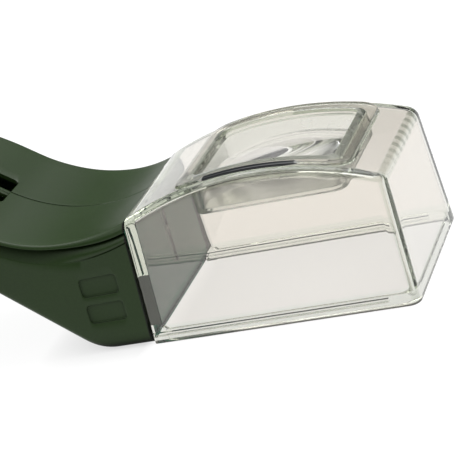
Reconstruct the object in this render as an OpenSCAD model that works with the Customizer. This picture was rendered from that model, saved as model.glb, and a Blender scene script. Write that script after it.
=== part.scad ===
// Hand-held bug catcher: a clear arched chamber with a magnifier in its roof, an arched hollow
// handle in two halves, and a flexible trap door that a thumb slider pushes under the chamber.
// X runs along the tool towards the chamber's end wall, -Y is the near side, +Z is up, and the
// origin is under the middle of the whole tool, on the surface that it stands on.

/* [Chamber] */
// Length of the clear chamber, from the handle joint to its end wall
chamber_len = 90; // [84:1:96]
// Width of the chamber at its open bottom
chamber_w = 66; // [62:1:72]
// Width of the chamber where its side walls meet the roof
roof_w = 58; // [56:1:60]
// Height of the side walls at both ends of the roof's arch
wall_h = 41.4; // [39:0.2:44]
// Rise of the arched roof above the ends of the side walls
roof_rise = 9.2; // [8:0.2:11]
// Thickness of the side walls and the end wall
wall_t = 2.5; // [2.2:0.1:2.8]
// Thickness of the roof
roof_t = 2.4; // [2:0.1:2.6]
// Thickness of the wall that faces the handle
rear_t = 3.2; // [2.6:0.1:3.8]
// How far the end wall and the rear wall lean inwards at the top
end_lean = 1.1; // [0.6:0.1:1.6]
// Radius of the upright corners
corner_r = 3.5; // [2:0.5:4]
// Width of the open seam between the chamber and the handle
joint_gap = 0.8; // [0.5:0.1:1.2]

/* [Rim] */
// Height of the rim round the open bottom
rim_h = 3.6; // [3.2:0.1:4.4]
// Width of the rim at the sides
rim_w = 4.2; // [3.6:0.1:4.8]
// Width of the rim along the end wall
end_rim_w = 3.4; // [3:0.1:4]
// Height of the groove that the door slides in
groove_h = 1.2; // [1.1:0.05:1.4]
// Depth of the groove behind the rim's inner edge
groove_depth = 1.5; // [1.3:0.1:1.8]
// Length of the thickened block at the handle end of each rim
root_len = 5.4; // [4:0.2:7]
// Height of that block
root_h = 4.5; // [4.2:0.1:5]
// Size of the block's chamfer
root_cut = 1.2; // [0.8:0.1:1.6]
// Height of the rear wall's lower edge, above the door
rear_edge_z = 5.4; // [5:0.1:6]
// Distance of the groove's closed end from the joint
groove_end = 79.9; // [78:0.1:82]

/* [Magnifier] */
// Length of the magnifier frame's flange
flange_len = 59; // [56:1:62]
// Width of the magnifier frame's flange
flange_w = 51; // [48:1:52]
// Corner radius of the flange
flange_r = 6; // [4:0.5:8]
// Width of the flange outside the frame's wall
flange_edge = 4; // [3.5:0.5:5]
// Distance of the flange's middle from the joint
magnifier_x = 48.5; // [47:0.5:50]
// Height of the flange above the roof
flange_proud = 0.8; // [0.4:0.1:1.2]
// Depth of the seat that the flange lies in
flange_seat = 1; // [0.6:0.1:1.2]
// Thickness of the frame's wall
frame_wall = 2; // [1.6:0.1:2.4]
// Height of the frame's underside above the bottom of the chamber
frame_z = 37.2; // [36:0.2:38]
// Width and thickness of the ledge that carries the lens
ledge = 1.2; // [1:0.1:1.6]
// Radius of the lens's domed face
lens_r = 64; // [58:1:76]
// Thickness of the lens at its corners
lens_edge = 2.2; // [1.6:0.1:2.6]

/* [Handle] */
// Length of the handle behind the joint
handle_len = 166; // [162:1:170]
// Wall thickness of the handle's halves
shell_t = 1.5; // [1.4:0.1:1.8]
// Wall thickness of the handle's underside
belly_t = 1.4; // [1.3:0.05:1.5]
// Distance of the neck's lowest point behind the joint
dip_d = 17; // [15:0.5:19]
// Radius of the neck's hollow, seen from the side
dip_r = 53; // [50:1:57]
// Slope of the neck's top as it rises, in degrees
neck_slope = 37; // [36:0.5:38]
// Length of the straight stretch between the neck and the hump
neck_run = 5.1; // [4:0.5:6]
// Radius of the hump that the slider runs over
hump_r = 100; // [96:1:104]
// Distance behind the joint where the underside starts to rise
knee_d = 19.1; // [18.5:0.1:19.7]
// Slope of the underside as it rises, in degrees
belly_slope = 41.5; // [41:0.25:42]
// Radius of the bend between the flat and the rising underside
belly_r = 15; // [13:0.5:17]
// Distance behind the joint where the underside starts to level out
level_d = 50; // [48:1:52]
// Height at which the underside of the grip levels out
grip_z = 45.5; // [44.5:0.25:46.5]
// Width of the handle's top behind the neck
deck_w = 65; // [64:0.5:66]
// Width of the grip
grip_w = 40; // [38:1:44]
// Distance behind the joint where the wide neck starts to narrow
taper_start_d = 66; // [65:1:68]
// Distance behind the joint where the grip has its own width
taper_end_d = 112; // [108:1:116]
// Height of the crown across the grip
crown_h = 3; // [2:0.25:3.5]
// Radius of the neck's top edge
edge_r = 1.2; // [1:0.1:1.5]
// Radius of the neck's bottom edge
belly_edge_r = 3.4; // [3:0.1:3.8]
// Radius of the grip's top edge
grip_edge_r = 9; // [8:0.5:10]
// Height of the cove under the deck's edge
cove_h = 5.4; // [4.6:0.2:6]
// Depth of the cove
cove_depth = 2.6; // [2:0.1:2.8]
// Length of the rounded butt
butt_r = 14; // [12:0.5:15]

/* [Slider slot] */
// Distance of the slot's front end behind the joint
slot_front_d = 48.4; // [47:0.2:50]
// Width over both windows of the slot
slot_w = 17.2; // [16.6:0.2:18]
// Width of the rail between the windows
rail_w = 3.3; // [2.8:0.1:3.8]
// Depth of the rail below the surface
rail_drop = 1; // [0.8:0.1:1.2]

/* [Door] */
// Travel of the door
travel = 85.5; // [84:0.5:86]
// Distance of the open door's front edge from the joint, inside the chamber
door_front = 1; // [0.6:0.1:1.4]
// Thickness of the flexible sheet
sheet_t = 0.4; // [0.35:0.05:0.5]
// Thickness of the stiff front bar
bar_t = 0.9; // [0.8:0.05:0.95]
// Length of the stiff front bar
bar_len = 8; // [7:0.5:8]
// Radius of the sheet's bend behind the joint
sheet_bend_r = 16; // [15:0.5:17]
// Depth of the sheet's curved path under the hump
sheet_depth = 12; // [11.5:0.25:12.5]
// Width of the sheet's tail under the slot
tail_w = 16; // [14:0.5:17]
// Height of the sheet's middle above the bottom of the chamber
sheet_z = 2.1; // [2.05:0.05:2.2]

/* [Thumb slider] */
// Length of the thumb pad along the slot
pad_len = 15; // [14:0.5:16]
// Width of the thumb pad
pad_w = 23; // [21:1:25]
// Height of the thumb pad
pad_h = 4; // [3:0.5:5]
// Number of grip ridges on the pad
ridges = 5; // [3:1:6]
// Length of the slider's legs along the slot
leg_len = 10; // [9:0.5:11]
// Thickness of the clamp under the sheet
clamp_t = 2.2; // [2:0.1:2.4]
// Angle of the open slider behind the top of the hump, in degrees
open_angle = 21; // [20:0.25:22]

/* [Screws] */
// Radius of the handle screws
screw_r = 1.25; // [1.1:0.05:1.4]
// Radius of the screw heads
head_r = 2.5; // [2.3:0.1:2.6]
// Height of the screw heads
head_h = 1.8; // [1.5:0.1:2.2]
// Length of the screws under the head
screw_len = 14; // [12:0.5:16]
// Distance of the head's seat from the middle of the handle
head_seat_y = 7; // [6:0.5:8]

/* [Label panels] */
// Length of each sunk panel on the near side
panel_len = 12.8; // [11:0.2:14]
// Height of each sunk panel
panel_h = 6.4; // [5.5:0.1:7]
// Depth of each sunk panel
panel_depth = 0.7; // [0.5:0.1:0.9]
// Height of the lower panel's middle
panel_z = 13.5; // [13:0.1:14.5]
// Distance between the panels' middles
panel_pitch = 9.2; // [8.6:0.1:10]

/* [Hidden] */

$fn = 96;
over = 1;
seat_gap = 0.1;
slide_gap = 0.35;
half_gap = joint_gap / 2;

// Chamber, from its named sizes
half_w = chamber_w / 2;
half_roof_w = roof_w / 2;
side_draft = (half_w - half_roof_w) / wall_h;
roof_r = (pow(chamber_len / 2, 2) + pow(roof_rise, 2)) / (2 * roof_rise);
roof_mid_x = chamber_len / 2;
roof_axis_z = wall_h + roof_rise - roof_r;
top_z = wall_h + roof_rise;
lean_share = end_lean / wall_h;
rim_y = half_w - rim_w;
groove_y = rim_y + groove_depth;
groove_z = sheet_z - groove_h / 2;
door_w = 2 * (groove_y - 0.15 * groove_depth);
inner_corner_r = corner_r - wall_t / 2;

// Magnifier, from its named sizes
tub_len = flange_len - 2 * flange_edge;
tub_w = flange_w - 2 * flange_edge;
tub_r = flange_r - flange_edge / 2;
well_len = tub_len - 2 * frame_wall;
well_w = tub_w - 2 * frame_wall;
well_r = tub_r - frame_wall / 2;
lens_z = frame_z + ledge;
lens_len = well_len - 2 * seat_gap;
lens_w = well_w - 2 * seat_gap;
lens_half_diag = norm([lens_len / 2 - well_r / 3, lens_w / 2 - well_r / 3]);
lens_axis_z = lens_z + lens_edge - sqrt(pow(lens_r, 2) - pow(lens_half_diag, 2));

// Tongue that ties the chamber to the handle
tongue_t = 2;
tongue_len = 10.6;
tongue_h = 20;
tongue_z = 24.5;

// Handle's side profile: d is the distance behind the joint
dip_z = wall_h - dip_r + sqrt(pow(dip_r, 2) - pow(dip_d, 2));
neck_d = dip_d + dip_r * sin(neck_slope);
neck_z = dip_z + dip_r * (1 - cos(neck_slope));
hump_start_d = neck_d + neck_run;
hump_start_z = neck_z + neck_run * tan(neck_slope);
hump_d = hump_start_d + hump_r * sin(neck_slope);
hump_z = hump_start_z - hump_r * cos(neck_slope);
pad_angle = pad_len / 2 / hump_r * 180 / PI;
end_play_angle = 1.2;
slot_back_d = min(hump_d + hump_r * sin(open_angle + pad_angle + end_play_angle),
                  handle_len - butt_r / 2);
open_at = asin((slot_back_d - hump_d) / hump_r) - pad_angle - end_play_angle;
slot_back_z = hump_z + sqrt(pow(hump_r, 2) - pow(slot_back_d - hump_d, 2));
back_z = grip_z + 2 * crown_h;
back_rate = tan(max(open_at + pad_angle, pad_angle)) / (slot_back_z - back_z);
bend_tangent = belly_r * tan(belly_slope / 2);
bend_start_d = knee_d - bend_tangent;
bend_end_d = knee_d + bend_tangent * cos(belly_slope);
level_z = (level_d - knee_d) * tan(belly_slope);
level_rate = tan(belly_slope) / (grip_z - level_z);

function ramp(t) = let (u = min(max(t, 0), 1)) u * u * (3 - 2 * u);
function top_at(d) =
    d < neck_d ? dip_z + dip_r - sqrt(pow(dip_r, 2) - pow(d - dip_d, 2))
    : d < hump_start_d ? neck_z + (d - neck_d) * tan(neck_slope)
    : d < slot_back_d ? hump_z + sqrt(pow(hump_r, 2) - pow(d - hump_d, 2))
    : back_z + (slot_back_z - back_z) * exp(-back_rate * (d - slot_back_d));
function belly_at(d) =
    d < bend_start_d ? 0
    : d < bend_end_d ? belly_r - sqrt(pow(belly_r, 2) - pow(d - bend_start_d, 2))
    : d < level_d ? (d - knee_d) * tan(belly_slope)
    : grip_z - (grip_z - level_z) * exp(-level_rate * (d - level_d));

// Shares of the way along the neck and the taper
widen_end_d = 1.5 * dip_d;
deck_end_d = 2.5 * dip_d;
hook_start_share = 0.6;
hook_run_share = 1.3;
function widen(d) = ramp(d / widen_end_d);
function hook(d) = ramp((d / dip_d - hook_start_share) / hook_run_share);
function taper(d) = ramp((d - taper_start_d) / (taper_end_d - taper_start_d));
function mix(a, b, t) = a + (b - a) * t;

grip_half_w = grip_w / 2;
function deck_y(d) = mix(mix(half_roof_w, deck_w / 2, ramp(d / deck_end_d)), grip_half_w, taper(d));
function skirt_y(d) = mix(half_w, grip_half_w, taper(d));
function draft(d) = mix(side_draft, side_draft / 2, widen(d)) * (1 - taper(d));
neck_crown_share = 0.03;
function crown(d) = crown_h * mix(neck_crown_share, 1, taper(d));
function cove_deep(d) = cove_depth * mix(0.4, 1, hook(d)) * (1 - taper(d));
function shoulder_out(d) = cove_depth * mix(0.15, -0.65, hook(d)) * (1 - taper(d));
function cove_high(d) = cove_h * mix(0.65, 1, widen(d)) * mix(1, 0.15, taper(d));
root_share = 0.12;
shoulder_share = 0.55;
joint_edge_r = 2.2 * edge_r;
round_share = 0.36;
bulge_share = 0.12;
function round_room(d) = round_share * (top_at(d) - belly_at(d) - crown(d) - cove_high(d));
function edge_at(d) = min(mix(mix(joint_edge_r, edge_r, widen(d)), grip_edge_r, taper(d)),
                          round_room(d));
function belly_edge_at(d) = min(mix(belly_edge_r, grip_edge_r, taper(d)), round_room(d));
function slope_share(d) = 1 / cos(mix(belly_slope, 0, taper(d)) * ramp((d - bend_start_d) / dip_d));

// Outer outline of one half at distance d, from the top seam down to the bottom seam
function outer_ring(d) =
    let (a = deck_y(d), zt = top_at(d), c = crown(d), r = edge_at(d), zb = belly_at(d),
         rb = belly_edge_at(d), hc = cove_high(d), dc = cove_deep(d), b = skirt_y(d),
         z5 = zt - c - r, z8 = z5 - hc, z10 = zb + rb, bulge = bulge_share * (z5 - z10) * taper(d),
         y8 = b - draft(d) * (z8 - zb))
    [[0, zt],
     [(a - r) / 2, zt - c / 4],
     [a - r, zt - c],
     [a - r + r * cos(60), zt - c - r + r * sin(60)],
     [a - r + r * cos(30), zt - c - r + r * sin(30)],
     [a, z5],
     [mix(a, y8, root_share) - dc + bulge * 0.4, z5 - hc * root_share],
     [mix(a, y8, shoulder_share) + shoulder_out(d) + bulge * 0.7, z5 - hc * shoulder_share],
     [y8 + bulge * 0.9, z8],
     [b - draft(d) * (z8 - zb) / 2 + bulge, (z8 + z10) / 2],
     [b, z10],
     [b - rb + rb * cos(30), z10 - rb * sin(30)],
     [b - rb + rb * cos(60), z10 - rb * sin(60)],
     [b - rb, zb],
     [(b - rb) / 2, zb],
     [0, zb]];

// Inner outline of the same half, one wall further in
function inner_ring(d) =
    let (t = shell_t, a = deck_y(d) - cove_deep(d) - t, tv = t * slope_share(d),
         zt = top_at(d), c = crown(d), r = max(edge_at(d) - t, t / 4), zb = belly_at(d),
         rb = belly_edge_at(d), hc = cove_high(d), b = skirt_y(d), tb = belly_t,
         z5 = zt - c - edge_at(d), z8 = z5 - hc, z10 = zb + rb,
         zi = zt - c - tv, y8 = b - draft(d) * (z8 - zb),
         zs = mix(z8 - t * 0.8, (z5 + z10) / 2, taper(d)),
         bulge = bulge_share * (z5 - z10) * taper(d),
         tbv = belly_t * slope_share(d))
    [[0, zt - tv],
     [(a - r) / 2, zt - c / 4 - tv],
     [a - r, zi],
     [a - r + r * cos(60), zi - r + r * sin(60)],
     [a - r + r * cos(30), zi - r + r * sin(30)],
     [a, zi - r],
     [a + bulge * 0.4, mix(zi - r, zs, 0.4)],
     [a + bulge * 0.75, mix(zi - r, zs, 0.75)],
     [y8 - t + bulge, zs],
     [b - draft(d) * (z8 - zb) / 2 - t + bulge * 0.8, (zs + z10) / 2],
     [b - tb, z10],
     [b - rb + (rb - tb) * cos(30), z10 - (rb - tbv) * sin(30)],
     [b - rb + (rb - tb) * cos(60), z10 - (rb - tbv) * sin(60)],
     [b - rb, zb + tbv],
     [(b - rb) / 2, zb + tbv],
     [0, zb + tbv]];

// The butt shrinks both outlines about the middle of the section
function butt_share(d) =
    let (u = max(d - (handle_len - butt_r), 0) / butt_r) sqrt(max(1 - u * u, 0.08));
function mid_z(d) = (top_at(d) + belly_at(d)) / 2;
function lean_x(d, z) = lean_share * z * max(1 - d / widen_end_d, 0);
function place(ring, d) =
    let (e = butt_share(d), m = mid_z(d))
    [for (p = ring) let (z = m + (p[1] - m) * e) [lean_x(d, z) - d, p[0] * e, z]];

body_steps = 38;
butt_steps = 5;
butt_start_d = handle_len - butt_r;
function station(i) =
    i <= body_steps ? mix(half_gap, butt_start_d, i / body_steps)
    : butt_start_d + butt_r * sin(90 * (i - body_steps) / butt_steps);
ring_n = 16;
last_ring = body_steps + butt_steps;
last_hollow = body_steps + 3;

// One half of the handle: a lofted skin with a hollow that closes before the butt
function quad(a, b, c, d) = [[a, b, c], [a, c, d]];
module half_shell() {
    outer = [for (i = [0:last_ring]) each place(outer_ring(station(i)), station(i))];
    inner = [for (i = [0:last_hollow]) each place(inner_ring(station(i)), station(i))];
    outer_n = len(outer);
    hollow_n = len(inner);
    o = function (i, j) i * ring_n + j;
    n = function (i, j) outer_n + i * ring_n + j;
    faces = concat(
        [for (i = [0:last_ring - 1], j = [0:ring_n - 2])
            each quad(o(i, j), o(i, j + 1), o(i + 1, j + 1), o(i + 1, j))],
        [for (i = [0:last_hollow - 1], j = [0:ring_n - 2])
            each quad(n(i, j), n(i + 1, j), n(i + 1, j + 1), n(i, j + 1))],
        [for (j = [0:ring_n - 2])
            each quad(n(0, j), n(0, j + 1), o(0, j + 1), o(0, j))],
        [for (i = [0:last_hollow - 1])
            each quad(o(i, 0), o(i + 1, 0), n(i + 1, 0), n(i, 0))],
        [for (i = [0:last_hollow - 1])
            each quad(o(i, ring_n - 1), n(i, ring_n - 1), n(i + 1, ring_n - 1),
                      o(i + 1, ring_n - 1))],
        [for (j = [0:ring_n / 2 - 2])
            each quad(n(last_hollow, ring_n - 1 - j), n(last_hollow, ring_n - 2 - j),
                      n(last_hollow, j + 1), n(last_hollow, j))],
        [for (j = [0:ring_n / 2 - 2])
            each quad(o(last_ring, j), o(last_ring, j + 1),
                      o(last_ring, ring_n - 2 - j), o(last_ring, ring_n - 1 - j))],
        [[n(last_hollow, 0), o(last_hollow, 0), o(last_hollow + 1, 0)],
         [o(last_hollow + 1, ring_n - 1), o(last_hollow, ring_n - 1),
          n(last_hollow, ring_n - 1)]],
        quad(n(last_hollow, 0), o(last_hollow + 1, 0), o(last_hollow + 1, ring_n - 1),
             n(last_hollow, ring_n - 1)),
        [for (i = [last_hollow + 1:last_ring - 1])
            each quad(o(i, 0), o(i + 1, 0), o(i + 1, ring_n - 1), o(i, ring_n - 1))]);
    polyhedron(concat(outer, inner), [for (f = faces) backwards(f)]);
}

// Sheet's path: flat, a bend, a straight rise and an arc about the hump's centre
sheet_r = hump_r - sheet_depth;
rise_dir = [-cos(belly_slope), sin(belly_slope)];
rise_normal = [sin(belly_slope), cos(belly_slope)];
hump_c = [-hump_d, hump_z];
rise_offset = hump_c * rise_normal + sheet_r;
flat_corner_x = (rise_offset - sheet_z * rise_normal[1]) / rise_normal[0];
bend_len = sheet_bend_r * tan(belly_slope / 2);
sheet_bend_x = flat_corner_x + bend_len;
arc_start = hump_c + sheet_r * rise_normal;
slider_turn = travel / sheet_r * 180 / PI;

bend_steps = 8;
arc_steps = 30;
function bend_point(a, off) =
    [sheet_bend_x - (sheet_bend_r - off) * sin(a),
     sheet_z + sheet_bend_r - (sheet_bend_r - off) * cos(a)];
function arc_point(a, off) = hump_c + (sheet_r + off) * [sin(a), cos(a)];
function path(off, x0, end_angle) =
    concat([[x0, sheet_z + off]],
           [for (i = [0:bend_steps]) bend_point(belly_slope * i / bend_steps, off)],
           [for (i = [0:arc_steps]) arc_point(mix(belly_slope, end_angle, i / arc_steps), off)]);
function backwards(p) = [for (i = [len(p) - 1:-1:0]) p[i]];

// A strip along the path, between two distances from it and between two sides
module strip(lo, hi, y0, y1, x0, end_angle) {
    translate([0, y1, 0])
        rotate([90, 0, 0])
            linear_extrude(y1 - y0)
                polygon(concat(path(lo, x0, end_angle), backwards(path(hi, x0, end_angle))));
}

// Distances along the path
rise_len = norm(arc_start - bend_point(belly_slope, 0));
to_arc_len = door_front - sheet_bend_x + sheet_bend_r * belly_slope * PI / 180 + rise_len;
wide_len = travel + door_front;
wide_end_angle = belly_slope - (wide_len - to_arc_len) / sheet_r * 180 / PI;
leg_angle = leg_len / 2 / sheet_r * 180 / PI;

// Screw places: distance behind the joint and height
hump_screw_z = grip_z + belly_t + 1.2 * head_r;
hump_screw_d = hump_d - 0.3 * hump_r;
screw_d = [0.35 * dip_d, 2.12 * dip_d, hump_screw_d, mix(hump_screw_d, slot_back_d, 0.53),
           slot_back_d + seat_gap];
screw_z = [tongue_z, mix(belly_at(screw_d[1]), top_at(screw_d[1]), 0.5),
           hump_screw_z - belly_t, hump_screw_z + belly_t / 2, hump_screw_z + belly_t];
screw_fit = 0.05;
boss_wall = 1.1;
post_wall = 1.3;
boss_r = head_r + boss_wall;
post_r = screw_r + post_wall;
head_fit = 0.3;

tool_shift = (handle_len - chamber_len) / 2;

module in_frame() {
    translate([tool_shift, 0, 0]) children();
}

module rounded_rect(l, w, r) {
    union() {
        square([l - 2 * r, w], center = true);
        square([l, w - 2 * r], center = true);
        for (x = [-1, 1], y = [-1, 1])
            translate([x * (l / 2 - r), y * (w / 2 - r)]) circle(r);
    }
}

// A rectangle with its two corners at the end wall rounded
module round_ended(l, w, r) {
    union() {
        rounded_rect(l, w, r);
        translate([-l / 4, 0]) square([l / 2, w], center = true);
    }
}

module roof_cylinder(r) {
    translate([roof_mid_x, 0, roof_axis_z])
        rotate([90, 0, 0])
            cylinder(r = r, h = 2 * chamber_w, center = true, $fn = 240);
}

// A drafted block under the arched roof, inset by t at the sides and by its own ends
module drafted_block(t, x0, x1, z0, r_roof, r_corner) {
    z1 = top_z + over;
    intersection() {
        translate([0, chamber_w, 0])
            rotate([90, 0, 0])
                linear_extrude(2 * chamber_w)
                    polygon([[x0 + lean_share * z0, z0], [x1 - lean_share * z0, z0],
                             [x1 - lean_share * z1, z1], [x0 + lean_share * z1, z1]]);
        translate([x0 - over, 0, 0])
            rotate([90, 0, 90])
                linear_extrude(x1 - x0 + 2 * over)
                    polygon([[-half_w + t + side_draft * z0, z0],
                             [half_w - t - side_draft * z0, z0],
                             [half_w - t - side_draft * z1, z1],
                             [-half_w + t + side_draft * z1, z1]]);
        translate([(x0 + x1) / 2, 0, z0])
            linear_extrude(z1 - z0)
                round_ended(x1 - x0, chamber_w - 2 * t, r_corner);
        roof_cylinder(r_roof);
    }
}

// Clear chamber: drafted walls, arched roof with the magnifier's seat, and a grooved rim
module chamber() {
    color([0.9, 0.9, 0.86, 0.35])
        in_frame() {
            difference() {
                drafted_block(0, half_gap, chamber_len, 0, roof_r, corner_r);
                difference() {
                    drafted_block(wall_t, half_gap + rear_t, chamber_len - wall_t, -over,
                                  roof_r - roof_t, inner_corner_r);
                    chamber_rim();
                }
                magnifier_seat();
                door_mouth();
            }
            tongue();
        }
}

// Solid kept inside the walls round the open bottom, with the door's groove left open
module chamber_rim() {
    rim_front = chamber_len - end_rim_w;
    difference() {
        translate([0, -chamber_w, -2 * over]) cube([chamber_len, 2 * chamber_w, rim_h + 2 * over]);
        translate([rim_front / 2, 0, -3 * over])
            linear_extrude(rim_h + 4 * over)
                round_ended(rim_front, 2 * rim_y, corner_r);
        door_slot(groove_end);
    }
    difference() {
        for (y = [-rim_y, half_w + over - 2 * seat_gap])
            translate([half_gap, y + seat_gap, 0]) root_block();
        door_slot(chamber_len);
    }
}

// Thickened end of one rim, as a profile over its length
module root_block() {
    rotate([90, 0, 0])
        linear_extrude(rim_w + over)
            polygon([[0, -2 * over], [root_len, -2 * over], [root_len, root_h - root_cut],
                     [root_len - root_cut, root_h], [0, root_h]]);
}

// Room for the door from the joint to its closed place
module door_slot(x1) {
    translate([-over, -groove_y, groove_z]) cube([x1 + over, 2 * groove_y, groove_h]);
}

// Opening under the rear wall that the door comes through
module door_mouth() {
    mouth_y = rim_y - 2 * seat_gap;
    translate([-over, -mouth_y, -over])
        cube([half_gap + rear_t + 2 * over, 2 * mouth_y, rear_edge_z + over]);
    door_slot(root_len + corner_r);
}

module magnifier_seat() {
    translate([magnifier_x, 0, 0]) {
        intersection() {
            translate([0, 0, wall_h])
                linear_extrude(2 * roof_rise)
                    rounded_rect(flange_len + 2 * seat_gap, flange_w + 2 * seat_gap,
                                 flange_r + seat_gap);
            difference() {
                translate([-magnifier_x, 0, 0]) roof_cylinder(roof_r + over);
                translate([-magnifier_x, 0, 0]) roof_cylinder(roof_r - flange_seat);
            }
        }
        translate([0, 0, frame_z])
            linear_extrude(2 * roof_rise + over)
                rounded_rect(tub_len + 2 * seat_gap, tub_w + 2 * seat_gap, tub_r + seat_gap);
    }
}

// Tongue on the rear wall that one screw pins inside the handle
module tongue() {
    difference() {
        translate([half_gap + rear_t / 2 - tongue_len - rear_t / 2, -tongue_t / 2,
                   tongue_z - tongue_h / 2])
            cube([tongue_len + rear_t / 2 + lean_share * tongue_z, tongue_t, tongue_h]);
        translate([-screw_d[0], 0, tongue_z])
            rotate([90, 0, 0])
                cylinder(r = screw_r + 4 * screw_fit, h = 2 * tongue_t, center = true);
    }
}

// Magnifier frame: a flange on the roof and a hanging wall with a ledge for the lens
module lens_frame() {
    color([0.88, 0.89, 0.86, 0.35])
        in_frame()
            translate([magnifier_x, 0, 0])
                difference() {
                    union() {
                        intersection() {
                            translate([0, 0, wall_h])
                                linear_extrude(2 * roof_rise)
                                    rounded_rect(flange_len, flange_w, flange_r);
                            difference() {
                                translate([-magnifier_x, 0, 0])
                                    roof_cylinder(roof_r + flange_proud);
                                translate([-magnifier_x, 0, 0])
                                    roof_cylinder(roof_r - flange_seat);
                            }
                        }
                        intersection() {
                            translate([0, 0, frame_z])
                                linear_extrude(2 * roof_rise)
                                    rounded_rect(tub_len, tub_w, tub_r);
                            translate([-magnifier_x, 0, 0]) roof_cylinder(roof_r);
                        }
                    }
                    translate([0, 0, lens_z])
                        linear_extrude(2 * roof_rise)
                            rounded_rect(well_len, well_w, well_r);
                    translate([0, 0, frame_z - over])
                        linear_extrude(2 * roof_rise)
                            rounded_rect(well_len - 2 * ledge, well_w - 2 * ledge, well_r);
                }
}

// Lens: flat underside, domed top
module magnifier_lens() {
    color([0.93, 0.95, 0.96, 0.3])
        in_frame()
            translate([magnifier_x, 0, 0])
                intersection() {
                    translate([0, 0, lens_z])
                        linear_extrude(2 * roof_rise)
                            rounded_rect(lens_len, lens_w, well_r - seat_gap);
                    translate([0, 0, lens_axis_z]) sphere(r = lens_r, $fn = 120);
                }
}

// Front wall of one handle half, with the openings for the door and the tongue
module bulkhead() {
    y_in = shell_t / 2;
    z0 = belly_t / 2;
    z1 = top_at(shell_t) - shell_t / 2;
    front_x = -half_gap - seat_gap;
    difference() {
        intersection() {
            translate([0, chamber_w, 0])
                rotate([90, 0, 0])
                    linear_extrude(chamber_w)
                        polygon([[-half_gap - shell_t + lean_share * z0, z0],
                                 [front_x + lean_share * z0, z0],
                                 [front_x + lean_share * z1, z1],
                                 [-half_gap - shell_t + lean_share * z1, z1]]);
            translate([-2 * shell_t, 0, 0])
                rotate([90, 0, 90])
                    linear_extrude(4 * shell_t)
                        polygon([[0, z0],
                                 [half_w - belly_edge_r, z0],
                                 [half_w - y_in, belly_edge_r],
                                 [half_w - y_in - side_draft * wall_h * 0.85, wall_h * 0.85],
                                 [half_roof_w - 0.7 * cove_depth, z1 - 0.8 * joint_edge_r],
                                 [half_roof_w - cove_depth, z1],
                                 [0, z1]]);
        }
        translate([-3 * shell_t, -over, groove_z])
            cube([6 * shell_t, groove_y + over, groove_h]);
        translate([-3 * shell_t, -over, tongue_z - tongue_h / 2 - seat_gap])
            cube([6 * shell_t, tongue_t / 2 + seat_gap + over, tongue_h + 2 * seat_gap]);
    }
}

// Ribs that hold the edges of the wide sheet, above and below it
rib_t = 1.2;
rib_clear = 0.7;
rib_y = rim_y;
module guide_ribs() {
    rib_out = half_w - shell_t / 2;
    strip(rib_clear, rib_clear + rib_t, rib_y, rib_out, -half_gap - shell_t / 2, wide_end_angle);
    intersection() {
        strip(-rib_clear - rib_t, -rib_clear, rib_y, rib_out, -half_gap, wide_end_angle);
        translate([-handle_len - bend_end_d + rib_t, 0, 0])
            cube([handle_len, chamber_w, 2 * grip_z]);
    }
}

function boss_inner_y(i) = i == 0 ? tongue_t / 2 + seat_gap : 0;
function side_y(d, z) =
    let (rb = belly_edge_at(d), z10 = belly_at(d) + rb, low = max(z10 - z, 0))
    skirt_y(d) - draft(d) * max(z - belly_at(d), 0) - rb + sqrt(max(rb * rb - low * low, 0));
function wall_y(i) =
    let (d = screw_d[i], e = butt_share(d), m = mid_z(d))
    side_y(d, m + (screw_z[i] - boss_r - m) / e) * e - shell_t * 0.4;

module across(d, z, y0, y1, r) {
    translate([-d, y1, z])
        rotate([90, 0, 0])
            cylinder(r = r, h = y1 - y0, $fn = 48);
}

// The slot's opening, with round corners in plan, and the rail that hangs below the surface
slot_corner_r = slot_w / 10;
rail_t = 1.3 * shell_t;
slot_steps = 24;
function slot_line(from_d, to_d, off) =
    [for (i = [0:slot_steps]) let (d = mix(from_d, to_d, i / slot_steps)) [-d, top_at(d) + off]];

module slot_window() {
    depth = 3 * shell_t;
    slot_len = slot_back_d - slot_front_d;
    intersection() {
        translate([0, slot_w, 0])
            rotate([90, 0, 0])
                linear_extrude(2 * slot_w)
                    polygon(concat(slot_line(slot_front_d - over, slot_back_d + over, depth),
                                   backwards(slot_line(slot_front_d - over, slot_back_d + over,
                                                       -depth))));
        translate([-slot_front_d - slot_len / 2, 0, 0])
            linear_extrude(2 * hump_r)
                rounded_rect(slot_len, slot_w, slot_corner_r);
    }
}

module slot_rail() {
    start_d = slot_front_d - 2 * shell_t;
    end_d = slot_back_d + 2 * shell_t;
    translate([0, rail_w / 2, 0])
        rotate([90, 0, 0])
            linear_extrude(rail_w / 2)
                polygon(concat(slot_line(start_d, end_d, -rail_drop),
                               backwards(slot_line(start_d, end_d, -rail_drop - rail_t))));
}

module half_body() {
    half_shell();
    bulkhead();
    guide_ribs();
}

// Near half: screw posts and the two sunk panels
module handle_left() {
    color([0.2, 0.27, 0.2])
        in_frame()
            mirror([0, 1, 0]) {
                difference() {
                    union() {
                        half_body();
                        for (i = [0:len(screw_d) - 1])
                            across(screw_d[i], screw_z[i], boss_inner_y(i), wall_y(i), post_r);
                    }
                    slot_window();
                    for (i = [0:len(screw_d) - 1])
                        across(screw_d[i], screw_z[i], -over, screw_len - head_seat_y + over,
                               screw_r + screw_fit);
                    for (k = [0, 1]) sunk_panel(panel_z + k * panel_pitch);
                }
                slot_rail();
            }
}

// Sunk panel, turned to lie along the skirt, whose draft lessens away from the joint
module sunk_panel(z) {
    d = panel_len;
    turn = atan((draft(d / 2) - draft(1.5 * d)) * z / d);
    translate([-d, skirt_y(d) - draft(d) * z - panel_depth, z])
        rotate([0, 0, -turn])
            rotate([-90 + atan(draft(d)), 0, 0])
                linear_extrude(2 * shell_t)
                    rounded_rect(panel_len, panel_h, panel_h / 5);
}

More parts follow.
